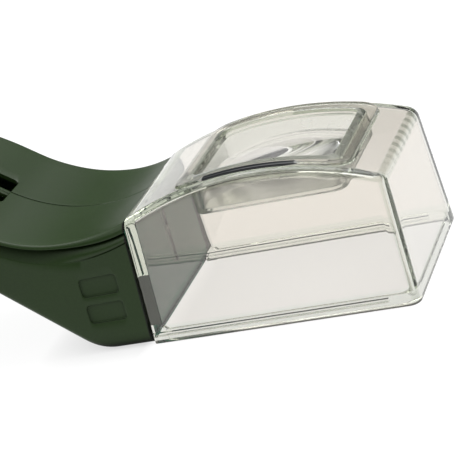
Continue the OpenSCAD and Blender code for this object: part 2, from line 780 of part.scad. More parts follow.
// Far half: bosses with deep counterbores for the screw heads
module handle_right() {
    color([0.2, 0.27, 0.2])
        in_frame() {
            difference() {
                union() {
                    half_body();
                    for (i = [0:len(screw_d) - 1])
                        across(screw_d[i], screw_z[i], boss_inner_y(i), wall_y(i), boss_r);
                }
                slot_window();
                for (i = [0:len(screw_d) - 1]) {
                    across(screw_d[i], screw_z[i], -over, chamber_w / 2, screw_r + 4 * screw_fit);
                    across(screw_d[i], screw_z[i], head_seat_y, chamber_w, head_r + head_fit);
                }
            }
            slot_rail();
        }
}

// Five identical pan-head screws with a cross recess
module handle_screws() {
    color([0.6, 0.61, 0.62])
        in_frame()
            for (i = [0:len(screw_d) - 1])
                difference() {
                    union() {
                        across(screw_d[i], screw_z[i], head_seat_y - screw_len, head_seat_y, screw_r);
                        across(screw_d[i], screw_z[i], head_seat_y, head_seat_y + head_h, head_r);
                    }
                    for (a = [0, 90])
                        translate([-screw_d[i], head_seat_y + head_h, screw_z[i]])
                            rotate([0, a, 0])
                                cube([head_r * 1.3, head_h, head_r * 0.3], center = true);
                }
}

// Stiff front bar of the trap door: its back runs in the groove, its nose between the rims
module trap_door() {
    back_x = door_front - bar_len;
    shoulder_x = groove_end - travel - slide_gap;
    nose_w = 2 * (rim_y - slide_gap / 2);
    color([0.88, 0.9, 0.88, 0.4])
        in_frame()
            translate([0, 0, sheet_z - bar_t / 2])
                linear_extrude(bar_t)
                    union() {
                        translate([back_x, -door_w / 2]) square([shoulder_x - back_x, door_w]);
                        translate([door_front - bar_len / 2, 0])
                            rounded_rect(bar_len, nose_w, corner_r);
                    }
}

// Flexible sheet of the trap door: wide in front, a narrow tail up to the slider
module door_sheet() {
    tail_end = -open_at - leg_angle;
    color([0.88, 0.9, 0.88, 0.4])
        in_frame()
            difference() {
                union() {
                    strip(-sheet_t / 2, sheet_t / 2, -door_w / 2, door_w / 2,
                          door_front - bar_len, wide_end_angle);
                    strip(-sheet_t / 2, sheet_t / 2, -tail_w / 2, tail_w / 2,
                          door_front - bar_len, tail_end);
                }
                at_slider()
                    for (s = [-1, 1])
                        translate([0, s * leg_y, sheet_r])
                            cylinder(r = clamp_screw_r + 4 * screw_fit, h = 4 * clamp_t,
                                     center = true, $fn = 32);
            }
}

// Slider pieces stand at the open end of the slot, turned about the hump's centre
leg_y = (slot_w + rail_w) / 4;
leg_w = (slot_w - rail_w) / 2 - 2 * slide_gap;
clamp_screw_r = 0.9;
clamp_head_r = 1.7;
clamp_screw_len = 6;
clamp_head_h = 1;
module at_slider() {
    translate([-hump_d, 0, hump_z])
        rotate([0, -open_at, 0])
            children();
}

module hump_ring(r_in, r_out, w) {
    rotate([90, 0, 0])
        difference() {
            cylinder(r = r_out, h = w, center = true, $fn = 240);
            cylinder(r = r_in, h = w + 2 * over, center = true, $fn = 240);
        }
}

// Thumb slider: a ridged pad on the hump and two legs through the slot's windows
module thumb_slider() {
    pad_top = hump_r + slide_gap + pad_h;
    ridge_pitch = pad_len / (ridges + 1);
    color([0.13, 0.15, 0.13])
        in_frame()
            at_slider()
                difference() {
                    union() {
                        intersection() {
                            hump_ring(hump_r + slide_gap, pad_top + over, pad_w);
                            translate([0, 0, hump_r])
                                linear_extrude(pad_h + slide_gap)
                                    rounded_rect(pad_len, pad_w, corner_r);
                        }
                        for (i = [1:ridges])
                            translate([i * ridge_pitch - pad_len / 2, 0, pad_top - slide_gap])
                                rotate([90, 0, 0])
                                    cylinder(r = ridge_pitch / 3, h = pad_w * 0.7,
                                             center = true, $fn = 32);
                        for (s = [-1, 1])
                            translate([-leg_len / 2, s * leg_y - leg_w / 2,
                                       sheet_r + sheet_t / 2 + screw_fit])
                                cube([leg_len, leg_w, sheet_depth + pad_h / 2]);
                    }
                    for (s = [-1, 1])
                        translate([0, s * leg_y, sheet_r])
                            cylinder(r = clamp_screw_r + screw_fit, h = clamp_screw_len + over,
                                     $fn = 32);
                }
}

// Clamp plate under the sheet's tail
module slider_clamp() {
    plate_w = 2 * leg_y + leg_w;
    color([0.18, 0.2, 0.18])
        in_frame()
            at_slider()
                difference() {
                    translate([0, 0, sheet_r - sheet_t / 2 - clamp_t - clamp_dip])
                        linear_extrude(clamp_t)
                            rounded_rect(leg_len, plate_w, corner_r / 2);
                    for (s = [-1, 1])
                        translate([0, s * leg_y, sheet_r - 2 * clamp_t])
                            union() {
                                cylinder(r = clamp_screw_r + 4 * screw_fit, h = 3 * clamp_t,
                                         $fn = 32);
                                cylinder(r = clamp_head_r + 2 * screw_fit,
                                         h = clamp_t - sheet_t + clamp_head_h - clamp_dip, $fn = 32);
                            }
                }
}
// The curved sheet dips below its tangent at the clamp's two ends
clamp_dip = sheet_r - sqrt(pow(sheet_r, 2) - pow(leg_len / 2, 2)) + screw_fit;

// Two small screws that hold the sheet's tail between the clamp and the legs
module clamp_screws() {
    seat_z = sheet_r - 2 * clamp_t + clamp_t - sheet_t + clamp_head_h - clamp_dip;
    color([0.62, 0.62, 0.63])
        in_frame()
            at_slider()
                for (s = [-1, 1])
                    translate([0, s * leg_y, seat_z - clamp_head_h])
                        union() {
                            cylinder(r = clamp_head_r, h = clamp_head_h, $fn = 32);
                            cylinder(r = clamp_screw_r, h = clamp_screw_len, $fn = 32);
                        }
}

chamber();
lens_frame();
magnifier_lens();
handle_left();
handle_right();
handle_screws();
trap_door();
door_sheet();
thumb_slider();
slider_clamp();
clamp_screws();
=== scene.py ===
"""Looks of the hand-held bug catcher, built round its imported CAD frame.

Lengths are millimetres in the tool's own frame, in the pieces and in the masks of the materials:
x = 0 is the plane where the clear chamber meets the handle, +x towards the chamber's end wall,
-y the near side, z = 0 underneath. Along the handle, d is the distance behind that plane.
"""
from math import cos, degrees, exp, hypot, pi, radians, sin, sqrt, tan

import bmesh
import bpy
import numpy as np
from mathutils import Matrix, Vector


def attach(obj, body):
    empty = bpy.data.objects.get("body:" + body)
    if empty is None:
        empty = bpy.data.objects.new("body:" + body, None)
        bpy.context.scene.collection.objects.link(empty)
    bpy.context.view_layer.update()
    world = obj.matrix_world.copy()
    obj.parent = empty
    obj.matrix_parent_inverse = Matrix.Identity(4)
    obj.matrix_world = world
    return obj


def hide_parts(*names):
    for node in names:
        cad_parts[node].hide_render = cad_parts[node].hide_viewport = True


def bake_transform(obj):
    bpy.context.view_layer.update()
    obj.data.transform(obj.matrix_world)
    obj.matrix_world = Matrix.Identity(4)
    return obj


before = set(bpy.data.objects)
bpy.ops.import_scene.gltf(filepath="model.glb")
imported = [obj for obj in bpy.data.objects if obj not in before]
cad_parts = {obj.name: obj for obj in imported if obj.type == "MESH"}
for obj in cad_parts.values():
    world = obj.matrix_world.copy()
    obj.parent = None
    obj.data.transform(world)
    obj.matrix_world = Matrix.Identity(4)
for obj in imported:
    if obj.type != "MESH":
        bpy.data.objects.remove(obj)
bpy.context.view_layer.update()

scene = bpy.context.scene
SHIFT = 38.0          # from the frame's origin to the joint plane, along x
MM = 1000.0           # millimetres in a metre
TURN = 2 * pi
MERGE = 1e-6          # points nearer to each other than this, in metres, become one
OVER = 5.0            # how far a cutter stands out of what it cuts


# Small helpers
def ramp(t):
    """Smooth step from 0 to 1."""
    u = min(max(t, 0.0), 1.0)
    return u * u * (3 - 2 * u)


def mix(a, b, t):
    return a + (b - a) * t


def between(steps):
    """Even shares from 0 to 1, without both ends."""
    return np.linspace(0, 1, steps)[1:-1]


def arc(start_deg, end_deg, steps, radius):
    """Pairs along an arc round zero."""
    return [(radius * cos(a), radius * sin(a))
            for a in np.radians(np.linspace(start_deg, end_deg, steps))]


def circle(radius, steps):
    return arc(0, 360, steps + 1, radius)[:-1]


def to_frame(points):
    """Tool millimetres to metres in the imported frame."""
    out = np.asarray(points, float).reshape(-1, 3).copy()
    out[:, 0] += SHIFT
    return out / MM


def tidy_mesh(obj, smooth_angle):
    bm = bmesh.new()
    bm.from_mesh(obj.data)
    bmesh.ops.remove_doubles(bm, verts=bm.verts, dist=MERGE)
    bmesh.ops.recalc_face_normals(bm, faces=bm.faces)
    bm.to_mesh(obj.data)
    bm.free()
    obj.data.shade_smooth()
    obj.data.set_sharp_from_angle(angle=radians(smooth_angle))
    obj.data.update()


def new_piece(name, points, faces, smooth_angle=35, place=None):
    """A mesh object from points in tool millimetres, placed by a 4x4 if one is given."""
    if place is not None:
        points = [tuple(place @ Vector(p)) for p in points]
    mesh = bpy.data.meshes.new(name)
    mesh.from_pydata([tuple(p) for p in to_frame(points)], [], [tuple(f) for f in faces])
    mesh.validate()
    obj = bpy.data.objects.new(name, mesh)
    scene.collection.objects.link(obj)
    tidy_mesh(obj, smooth_angle)
    return obj


def bake(obj, modifier):
    """Apply a modifier; a result without faces is reported and left out."""
    graph = bpy.context.evaluated_depsgraph_get()
    made = bpy.data.meshes.new_from_object(obj.evaluated_get(graph))
    obj.modifiers.remove(modifier)
    spare = obj.data
    if len(made.polygons) == 0:
        print("a modifier gave nothing:", obj.name)
        spare = made
    else:
        obj.data = made
    bpy.data.meshes.remove(spare)


def boolean(obj, others, operation):
    """Join the other meshes to obj or cut them out of it, and take them away."""
    for other in others:
        modifier = obj.modifiers.new("cut", "BOOLEAN")
        modifier.operation = operation
        modifier.solver = "MANIFOLD"
        modifier.object = other
        bake(obj, modifier)
        bpy.data.objects.remove(other)
    return obj


def add_bevel(obj, width):
    modifier = obj.modifiers.new("edges", "BEVEL")
    modifier.width = width / MM
    modifier.segments = 2
    modifier.limit_method = "ANGLE"
    modifier.angle_limit = radians(35)
    modifier.harden_normals = False
    bake(obj, modifier)


def loft(name, rings, closed=False, smooth_angle=35, place=None):
    """Quads between rings of equal length; a closed loft has no ends, another has them capped."""
    n, count = len(rings[0]), len(rings)
    points = np.concatenate([np.asarray(r, float) for r in rings])
    faces = []
    for i in range(count if closed else count - 1):
        a, b = i * n, ((i + 1) % count) * n
        for j in range(n):
            k = (j + 1) % n
            faces.append((a + j, a + k, b + k, b + j))
    if not closed:
        faces.append(tuple(range(n - 1, -1, -1)))
        faces.append(tuple((count - 1) * n + j for j in range(n)))
    return new_piece(name, points, faces, smooth_angle, place)


def box_mesh(name, lo, hi, place=None, low_share=1.0):
    """A box between two corners; low_share narrows its lower face along x."""
    (x0, y0, z0), (x1, y1, z1) = lo, hi
    corners = [(x * share, y, z) for z, share in ((z0, low_share), (z1, 1.0))
               for x, y in ((x0, y0), (x1, y0), (x1, y1), (x0, y1))]
    faces = [(3, 2, 1, 0), (4, 5, 6, 7), (0, 1, 5, 4), (1, 2, 6, 5), (2, 3, 7, 6), (3, 0, 4, 7)]
    return new_piece(name, corners, faces, place=place)


def prism(name, outline, *sides):
    """A solid with an outline in x and z, between two places along y."""
    n = len(outline)
    pts = [(x, y, z) for y in sorted(sides) for x, z in outline]
    faces = [tuple(range(n)), tuple(range(2 * n - 1, n - 1, -1))]
    faces += [(i, i + n, (i + 1) % n + n, (i + 1) % n) for i in range(n)]
    return new_piece(name, pts, faces)


def rod(name, centre, axis, radius, length, steps=40):
    """A cylinder from centre along axis."""
    axis = Vector(axis).normalized()
    side = axis.orthogonal().normalized()
    up = axis.cross(side)
    return loft(name, [[tuple(Vector(centre) + axis * t + side * u + up * v)
                        for u, v in circle(radius, steps)] for t in (0.0, length)])


def lathe(name, profile, place, steps=48):
    """Turn (radius, height) pairs about a local z, then place the result."""
    pts = [(r * u, r * v, h) for u, v in circle(1.0, steps) for r, h in profile]
    faces, n = [], len(profile)
    for i in range(steps):
        k = (i + 1) % steps
        for j in range(n - 1):
            faces.append((i * n + j, k * n + j, k * n + j + 1, i * n + j + 1))
    return new_piece(name, pts, faces, place=place)


CORNERS = ((1, -1), (1, 1), (-1, 1), (-1, -1))


class RoundRect:
    """Matched points round a rectangle; the corners at the rear may have a radius of their own."""

    def __init__(self, n_long=44, n_short=18, n_corner=9):
        rows = []
        for i, (cx, cy) in enumerate(CORNERS):
            corner = arc(-90 + 90 * i, 90 * i, n_corner, 1.0)
            ex, ey = CORNERS[(i + 1) % 4]
            rows += [(cx, cy, *normal) for normal in corner]
            rows += [(mix(cx, ex, t), mix(cy, ey, t), *corner[-1])
                     for t in between((n_long if i % 2 else n_short) + 2)]
        self.p, self.q, self.nx, self.ny = np.array(rows, float).T

    def at(self, cx, hx, hy, r, rear_r=None):
        r = mix(r if rear_r is None else rear_r, r, (self.p + 1) / 2)
        return cx + self.p * (hx - r) + r * self.nx, self.q * (hy - r) + r * self.ny


PLAN = RoundRect()


def small_rect(l, w, r, steps=8):
    """Points round a rectangle with round corners, for cutters and small parts."""
    return np.column_stack(RoundRect(0, 0, steps).at(0, l / 2, w / 2, r))


def bezier(a, c, b, steps):
    """Rings along a quadratic curve from a to b, drawn towards c."""
    t = np.linspace(0, 1, steps)[:, None, None]
    return list((1 - t) ** 2 * a + 2 * t * (1 - t) * c + t ** 2 * b)


# Chamber: sizes as in the CAD source
CHAMBER_LEN, HALF_W, WALL_H, RISE = 90.0, 33.0, 41.4, 9.2
WALL_T, ROOF_T, REAR_T, HALF_GAP, SEAT_GAP = 2.5, 2.4, 3.2, 0.4, 0.1
LEAN = 1.1 / WALL_H           # of the ends, along x for each millimetre of height
DRAFT = 4.0 / WALL_H          # of the sides, along y
MID_X = CHAMBER_LEN / 2
ROOF_R = (MID_X ** 2 + RISE ** 2) / (2 * RISE)
ROOF_Z = WALL_H + RISE - ROOF_R
CORNER_R, REAR_CORNER_R, INNER_R = 3.5, 0.5, 2.25
EDGE_SIDE, EDGE_FRONT, EDGE_REAR, EDGE_LOW, INNER_EDGE = 2.8, 2.2, 0.3, 0.35, 1.2
RIM_Y, RIM_H, RIM_REAR, RIM_FRONT, RIM_EDGE = 28.8, 3.6, 4.3, 86.6, 0.3
GROOVE_Y, GROOVE_Z0, GROOVE_Z1, GROOVE_END = 30.3, 1.5, 2.7, 79.9
GUIDE_Y, GUIDE_X0, GUIDE_X1, GUIDE_Z0, GUIDE_Z1, GUIDE_SLOPE = 31.0, 0.6, 5.8, 1.0, 4.5, 1.2
TONGUE_X0, TONGUE_X1, TONGUE_Y, TONGUE_Z0, TONGUE_Z1 = -10.2, 1.9, 1.0, 14.5, 34.5
TONGUE_HOLE_R = 1.45

# Magnifier: the flange in the roof, the tub that hangs from it, its well and the lens's ledge
MAG_X, FLANGE_L, FLANGE_W, FLANGE_R = 48.5, 59.0, 51.0, 6.0
TUB_L, TUB_W, TUB_R = 51.0, 43.0, 4.0
WELL_L, WELL_W, WELL_R = 47.0, 39.0, 3.0
LEDGE_W, SEAT_DEPTH, FLANGE_PROUD = 1.2, 1.0, 0.8
FRAME_Z, LENS_Z, LENS_R, LENS_EDGE = 37.2, 38.4, 64.0, 2.2

# Handle: its upper line dips behind the joint, climbs the neck and goes over the hump
HANDLE_LEN, BUTT_LEN, SHELL_T, BELLY_T = 166.0, 14.0, 1.5, 1.4
BUTT_D = HANDLE_LEN - BUTT_LEN
DIP_D, DIP_R, HUMP_R = 17.0, 53.0, 100.0
NECK, NECK_RUN = radians(37), 5.1
DIP_Z = WALL_H - DIP_R + sqrt(DIP_R ** 2 - DIP_D ** 2)
NECK_D = DIP_D + DIP_R * sin(NECK)
NECK_Z = DIP_Z + DIP_R * (1 - cos(NECK))
HUMP_START_D = NECK_D + NECK_RUN
HUMP_START_Z = NECK_Z + NECK_RUN * tan(NECK)
HUMP_D = HUMP_START_D + HUMP_R * sin(NECK)
HUMP_Z = HUMP_START_Z - HUMP_R * cos(NECK)

# The slot for the slider, and the upper and lower lines on the way to the grip
OPEN_DEG, PAD_LEN = 21.0, 15.0
PAD_DEG = degrees(PAD_LEN / 2 / HUMP_R)
SLOT_FRONT, SLOT_W, RAIL_W, RAIL_DROP, RAIL_T, RAIL_MORE = 48.4, 17.2, 3.3, 1.0, 1.95, 3.0
SLOT_SPARE_DEG = 1.2
SLOT_BACK = HUMP_D + HUMP_R * sin(radians(OPEN_DEG + PAD_DEG + SLOT_SPARE_DEG))
SLOT_BACK_Z = HUMP_Z + sqrt(HUMP_R ** 2 - (SLOT_BACK - HUMP_D) ** 2)
GRIP_Z = 45.5
BACK_Z = GRIP_Z + 6.0
BACK_RATE = tan(radians(OPEN_DEG + PAD_DEG)) / (SLOT_BACK_Z - BACK_Z)
BELLY_SLOPE = radians(41.5)
KNEE_D, KNEE_R, LEVEL_D = 19.1, 15.0, 50.0
BEND_T = KNEE_R * tan(BELLY_SLOPE / 2)
BEND_0, BEND_1 = KNEE_D - BEND_T, KNEE_D + BEND_T * cos(BELLY_SLOPE)
LEVEL_Z = (LEVEL_D - KNEE_D) * tan(BELLY_SLOPE)
LEVEL_RATE = tan(BELLY_SLOPE) / (GRIP_Z - LEVEL_Z)

# The handle's cross-section: deck, rounded edge, cove under it, skirt and rounded belly edge
WIDEN_END, TAPER_D, TAPER_LEN = 25.5, 66.0, 46.0
DECK_Y, DECK_BACK_Y, DECK_BACK_D, GRIP_Y = 29.0, 32.5, 42.5, 20.0
DECK_EDGE_R, DECK_BACK_EDGE_R, BELLY_EDGE_R, GRIP_R, ROUND_SHARE = 2.64, 1.2, 3.4, 9.0, 0.36
CROWN, CROWN_FRONT_SHARE, BULGE_SHARE = 3.0, 0.03, 0.12
HOOK_START_SHARE, HOOK_RUN_SHARE = 0.6, 1.3     # where the cove's bead turns into an undercut
COVE_DEEP, COVE_DEEP_SHARE = 2.6, 0.4
COVE_HIGH, COVE_FRONT_SHARE, COVE_GRIP_SHARE = 5.4, 0.65, 0.15
COVE_SHARES = (0, 0.04, 0.09, 0.16, 0.28, 0.42, 0.56, 0.70, 0.84, 0.94, 1)
BEAD = (0, -0.75, -1.0, -0.85, -0.3, 0.15, 0.4, 0.42, 0.2, -0.25, 0)
UNDERCUT = (0, -2.0, -2.6, -2.6, -2.35, -1.95, -1.5, -1.0, -0.5, -0.12, 0)
COVE_ROW_SHARES = (0, 0.02, 0.05, 0.09, 0.13, 0.18, 0.24, 0.31, 0.38, 0.46, 0.54, 0.62, 0.7, 0.78,
                   0.86, 0.91, 0.95, 0.98)
SEAM_FRONT, SEAM_BACK, SEAM_BACK_D = 0.12, 0.45, 40.0

# Inside the handle: the screws' posts and bores, the ribs beside the door's sheet; the panels
SCREW_D = [5.95, 36.04, 84.1777, 123.724, 158.893]
SCREW_Z = [24.5, 28.5625, 48.5, 50.6, 51.3]
NEAR_POST_R, FAR_POST_R, NEAR_BORE_R, FAR_BORE_R, HEAD_BORE_R = 2.55, 3.6, 1.3, 1.45, 2.8
HEAD_SEAT_Y, NEAR_BORE_LEN, FAR_BORE_LEN = 7.0, 9.0, 34.0
RIB_Y, RIB_LOW, RIB_HIGH = 32.2, 0.7, 1.9
PANEL_D, PANEL_L, PANEL_H, PANEL_R, PANEL_DEEP = 12.8, 12.8, 6.4, 1.3, 0.7
PANEL_HEIGHTS = (13.5, 22.7)

# The sheet's path: flat at the rim, a bend up into the handle, a slope and an arc over the hump
SHEET_R, SHEET_Z, SHEET_BEND_R, SHEET_T, SHEET_Y, TAIL_Y = 88.0, 2.1, 16.0, 0.4, 30.0, 8.0
RISE_N = np.array([sin(BELLY_SLOPE), cos(BELLY_SLOPE)])
HUMP_C = np.array([-HUMP_D, HUMP_Z])
FLAT_X = (HUMP_C @ RISE_N + SHEET_R - SHEET_Z * RISE_N[1]) / RISE_N[0]
BEND_X = FLAT_X + SHEET_BEND_R * tan(BELLY_SLOPE / 2)
TRAVEL, DOOR_FRONT, BAR_LEN = 85.5, 1.0, 8.0
BAR_BACK = DOOR_FRONT - BAR_LEN
RISE_LEN = np.hypot(*(HUMP_C + SHEET_R * RISE_N
                      - np.array([BEND_X - SHEET_BEND_R * sin(BELLY_SLOPE),
                                  SHEET_Z + SHEET_BEND_R * (1 - cos(BELLY_SLOPE))])))
TO_ARC = DOOR_FRONT - BEND_X + SHEET_BEND_R * BELLY_SLOPE + RISE_LEN
WIDE_END_DEG = degrees(BELLY_SLOPE - (TRAVEL + DOOR_FRONT - TO_ARC) / SHEET_R)
SHOULDER_DEG = 39.4    # past the clamp's most forward place, so the still part never meets it
TAIL_END_DEG = -OPEN_DEG - degrees(5.0 / SHEET_R)
TAIL_HELD_DEG = -OPEN_DEG + 3.6     # from here to its end the tail stays with the slider

# Slider, clamp and door bar
PAD_W, PAD_H, PAD_GAP, PAD_R, PAD_EDGE, PAD_FALL = 23.0, 4.0, 0.35, 3.5, 1.1, 0.007
RIDGES, RIDGE_SINK, RIDGE_LIFT, RIDGE_X_R, RIDGE_Z_R = 5, 0.72, 0.2, 0.85, 0.98
RIDGE_ENDS = ((-8.4, 0.3), (-8.15, 0.75), (-7.6, 1.0), (7.6, 1.0), (8.15, 0.75), (8.4, 0.3))
LEG_L, LEG_H, LEG_Y, LEG_W = 10.0, 14.0, (SLOT_W + RAIL_W) / 4, (SLOT_W - RAIL_W) / 2 - 0.7
CLAMP_T, CLAMP_R, CLAMP_SINK = 2.2, 1.75, 1.0
CLAMP_TOP = sqrt(SHEET_R ** 2 - (LEG_L / 2) ** 2) - 0.25
CLAMP_BORE_R, CLAMP_HEAD_R = 1.1, 1.8
BAR_Y, BAR_NOSE_Y, BAR_R, BAR_Z0, BAR_Z1, BAR_BEVEL = 30.0, 28.6, 3.5, 1.65, 2.55, 0.15
BAR_STOP_GAP = 0.35


# Chamber: rings that follow its drafted walls and its arched roof
def roof(x, offset=0.0):
    return ROOF_Z + np.sqrt((ROOF_R + offset) ** 2 - (x - MID_X) ** 2)


def wall_ring(z, side, front, rear, r, rear_r):
    """Ring on the drafted walls, moved in by side, front and rear; z may differ per point."""
    z = np.broadcast_to(np.asarray(z, float), PLAN.p.shape)
    x0 = HALF_GAP + rear + LEAN * z
    x1 = CHAMBER_LEN - front - LEAN * z
    x, y = PLAN.at((x0 + x1) / 2, (x1 - x0) / 2, HALF_W - side - DRAFT * z, r, rear_r)
    return np.stack([x, y, z], 1)


def top_ring(offset, drop, *walls):
    """The ring where the walls meet the roof, or a little below it."""
    z = np.full(PLAN.p.shape, WALL_H)
    for _ in range(8):
        z = roof(wall_ring(z, *walls)[:, 0], offset) - drop
    return wall_ring(z, *walls)


def on_roof(ring, offset):
    out = ring.copy()
    out[:, 2] = roof(out[:, 0], offset)
    return out


def at_height(ring, z):
    return np.column_stack([ring[:, :2], np.full(len(ring), z)])


def plan_ring(cx, l, w, r, z, rear_r=None):
    x, y = PLAN.at(cx, l / 2, w / 2, r, rear_r)
    return np.stack([x, y, np.broadcast_to(np.asarray(z, float), x.shape)], 1)


def mag_ring(l, w, r, grow=0.0):
    """Plan of one of the magnifier's outlines, grown by a little all round."""
    return plan_ring(MAG_X, l + 2 * grow, w + 2 * grow, r + grow, 0)


def rim_ring(grow, z):
    return plan_ring((RIM_REAR + RIM_FRONT) / 2, RIM_FRONT - RIM_REAR + 2 * grow,
                     2 * (RIM_Y + grow), CORNER_R + grow, z, REAR_CORNER_R + grow)


def wall_rings(low, high, walls, steps=8):
    """Rings between two heights on the walls, each height a number or one per point."""
    return [wall_ring(low + (high - low) * t, *walls) for t in between(steps)]


def chamber_piece():
    outer = (0, 0, 0, CORNER_R, REAR_CORNER_R)
    inner = (WALL_T, WALL_T, REAR_T, INNER_R, REAR_CORNER_R)
    # outside, from the bottom edge up
    foot = wall_ring(0.0, EDGE_LOW, EDGE_LOW, EDGE_LOW, CORNER_R - 0.3, REAR_CORNER_R - 0.2)
    rings = bezier(foot, wall_ring(0.0, *outer), wall_ring(EDGE_LOW, *outer), 4)
    edge_low = top_ring(0, EDGE_SIDE, *outer)
    rings += wall_rings(EDGE_LOW, edge_low[:, 2], outer)
    edge_in = top_ring(0, 0, EDGE_SIDE, EDGE_FRONT, EDGE_REAR, CORNER_R - EDGE_FRONT,
                       REAR_CORNER_R - 0.2)
    rings += bezier(edge_low, top_ring(0, 0, *outer), edge_in, 10)
    # over the roof to the magnifier's seat
    seat = mag_ring(FLANGE_L, FLANGE_W, FLANGE_R, SEAT_GAP)
    tub = mag_ring(TUB_L, TUB_W, TUB_R, SEAT_GAP)
    rings += [on_roof(mix(edge_in, seat, t), 0) for t in between(7)]
    rings += [on_roof(seat, 0), on_roof(seat, -SEAT_DEPTH)]
    rings += [on_roof(tub, -SEAT_DEPTH), on_roof(tub, -ROOF_T)]
    # under the roof to the inner walls
    in_edge = top_ring(-ROOF_T, 0, WALL_T + INNER_EDGE, WALL_T + INNER_EDGE, REAR_T + EDGE_REAR,
                       INNER_EDGE, REAR_CORNER_R - 0.2)
    rings += [on_roof(mix(tub, in_edge, t), -ROOF_T) for t in between(6)]
    in_low = top_ring(-ROOF_T, INNER_EDGE, *inner)
    rings += bezier(in_edge, top_ring(-ROOF_T, 0, *inner), in_low, 6)
    rings += wall_rings(in_low[:, 2], RIM_H, inner)
    rings.append(wall_ring(RIM_H, *inner))
    # the rim's ledge and its inner side
    rings += bezier(rim_ring(RIM_EDGE, RIM_H), rim_ring(0, RIM_H), rim_ring(0, RIM_H - RIM_EDGE), 4)
    rings += bezier(rim_ring(0, RIM_EDGE), rim_ring(0, 0), rim_ring(RIM_EDGE, 0), 4)
    obj = loft("chamber_shell", rings, closed=True, smooth_angle=30)
    guide = [(GUIDE_X0, GUIDE_Z0), (GUIDE_X1, GUIDE_Z0), (GUIDE_X1, GUIDE_Z1 - GUIDE_SLOPE),
             (GUIDE_X1 - GUIDE_SLOPE, GUIDE_Z1), (GUIDE_X0, GUIDE_Z1)]
    boolean(obj, [prism("guide", guide, s * RIM_Y, s * GUIDE_Y) for s in (-1, 1)], "UNION")
    tongue = box_mesh("tongue", (TONGUE_X0, -TONGUE_Y, TONGUE_Z0), (TONGUE_X1, TONGUE_Y, TONGUE_Z1))
    hole = rod("hole", (-SCREW_D[0], -OVER, SCREW_Z[0]), (0, 1, 0), TONGUE_HOLE_R, 2 * OVER)
    boolean(obj, [boolean(tongue, [hole], "DIFFERENCE")], "UNION")
    mouth_x, mouth_y, mouth_z = 4.6, RIM_Y - SEAT_GAP, 5.4
    groove_y = GROOVE_Y - 0.02
    boolean(obj, [box_mesh("mouth", (-1, -mouth_y, -1), (mouth_x, mouth_y, mouth_z)),
                  box_mesh("groove", (-1, -groove_y, GROOVE_Z0),
                           (GROOVE_END, groove_y, GROOVE_Z1))], "DIFFERENCE")
    tidy_mesh(obj, 30)
    return obj


# Magnifier
def frame_piece():
    edge, ledge_edge = 0.45, 0.2
    flange = lambda grow: mag_ring(FLANGE_L, FLANGE_W, FLANGE_R, grow)
    tub = lambda grow: mag_ring(TUB_L, TUB_W, TUB_R, grow)
    well = lambda grow: mag_ring(WELL_L, WELL_W, WELL_R, grow)
    ledge = lambda grow: mag_ring(WELL_L - 2 * LEDGE_W, WELL_W - 2 * LEDGE_W, WELL_R, grow)
    high, top = on_roof(tub(0), -SEAT_DEPTH), FLANGE_PROUD
    rings = [high, on_roof(flange(0), -SEAT_DEPTH)]
    rings += bezier(on_roof(flange(0), top - edge), on_roof(flange(0), top),
                    on_roof(flange(-edge), top), 5)
    rings += [on_roof(mix(flange(-edge), well(edge), t), top) for t in between(4)]
    deep = on_roof(well(0), top - edge)
    rings += bezier(on_roof(well(edge), top), on_roof(well(0), top), deep, 5)
    rings += [at_height(deep, mix(deep[:, 2], LENS_Z, t)) for t in (0.35, 0.7)]
    rings.append(at_height(well(0), LENS_Z))
    rings += bezier(at_height(ledge(ledge_edge), LENS_Z), at_height(ledge(0), LENS_Z),
                    at_height(ledge(0), LENS_Z - ledge_edge), 3)
    rings += bezier(at_height(ledge(0), FRAME_Z + ledge_edge), at_height(ledge(0), FRAME_Z),
                    at_height(ledge(ledge_edge), FRAME_Z), 3)
    rings += bezier(at_height(tub(-edge), FRAME_Z), at_height(tub(0), FRAME_Z),
                    at_height(tub(0), FRAME_Z + edge), 5)
    rings += [at_height(high, mix(FRAME_Z + edge, high[:, 2], t)) for t in (0.4, 0.75)]
    return loft("magnifier_frame", rings, closed=True, smooth_angle=30)


def lens_piece():
    l, w, r, edge = WELL_L - 2 * SEAT_GAP, WELL_W - 2 * SEAT_GAP, WELL_R - SEAT_GAP, 0.25
    corner = hypot(l / 2 - WELL_R / 3, w / 2 - WELL_R / 3)
    centre_z = LENS_Z + LENS_EDGE - sqrt(LENS_R ** 2 - corner ** 2)
    outline = lambda grow: mag_ring(l, w, r, grow)
    dome = lambda ring: at_height(
        ring, centre_z + np.sqrt(LENS_R ** 2 - (ring[:, 0] - MAG_X) ** 2 - ring[:, 1] ** 2))
    rings = [at_height(outline(-4 * edge), LENS_Z)]
    rings += bezier(at_height(outline(-edge), LENS_Z), at_height(outline(0), LENS_Z),
                    at_height(outline(0), LENS_Z + edge), 4)
    top, inner = dome(outline(0)), outline(-edge)
    rings += bezier(at_height(top, top[:, 2] - edge), top, dome(inner), 4)
    for t in np.linspace(1, 0.04, 22)[1:]:
        ring = inner.copy()
        ring[:, 0] = MAG_X + (inner[:, 0] - MAG_X) * t
        ring[:, 1] = inner[:, 1] * t
        rings.append(dome(ring))
    return loft("magnifier_glass", rings, smooth_angle=30)


# Handle: its outline in side view and its cross-section at d
def top_at(d):
    if d < NECK_D:
        return DIP_Z + DIP_R - sqrt(DIP_R ** 2 - (d - DIP_D) ** 2)
    if d < HUMP_START_D:
        return NECK_Z + (d - NECK_D) * tan(NECK)
    if d < SLOT_BACK:
        return HUMP_Z + sqrt(HUMP_R ** 2 - (d - HUMP_D) ** 2)
    return BACK_Z + (SLOT_BACK_Z - BACK_Z) * exp(-BACK_RATE * (d - SLOT_BACK))


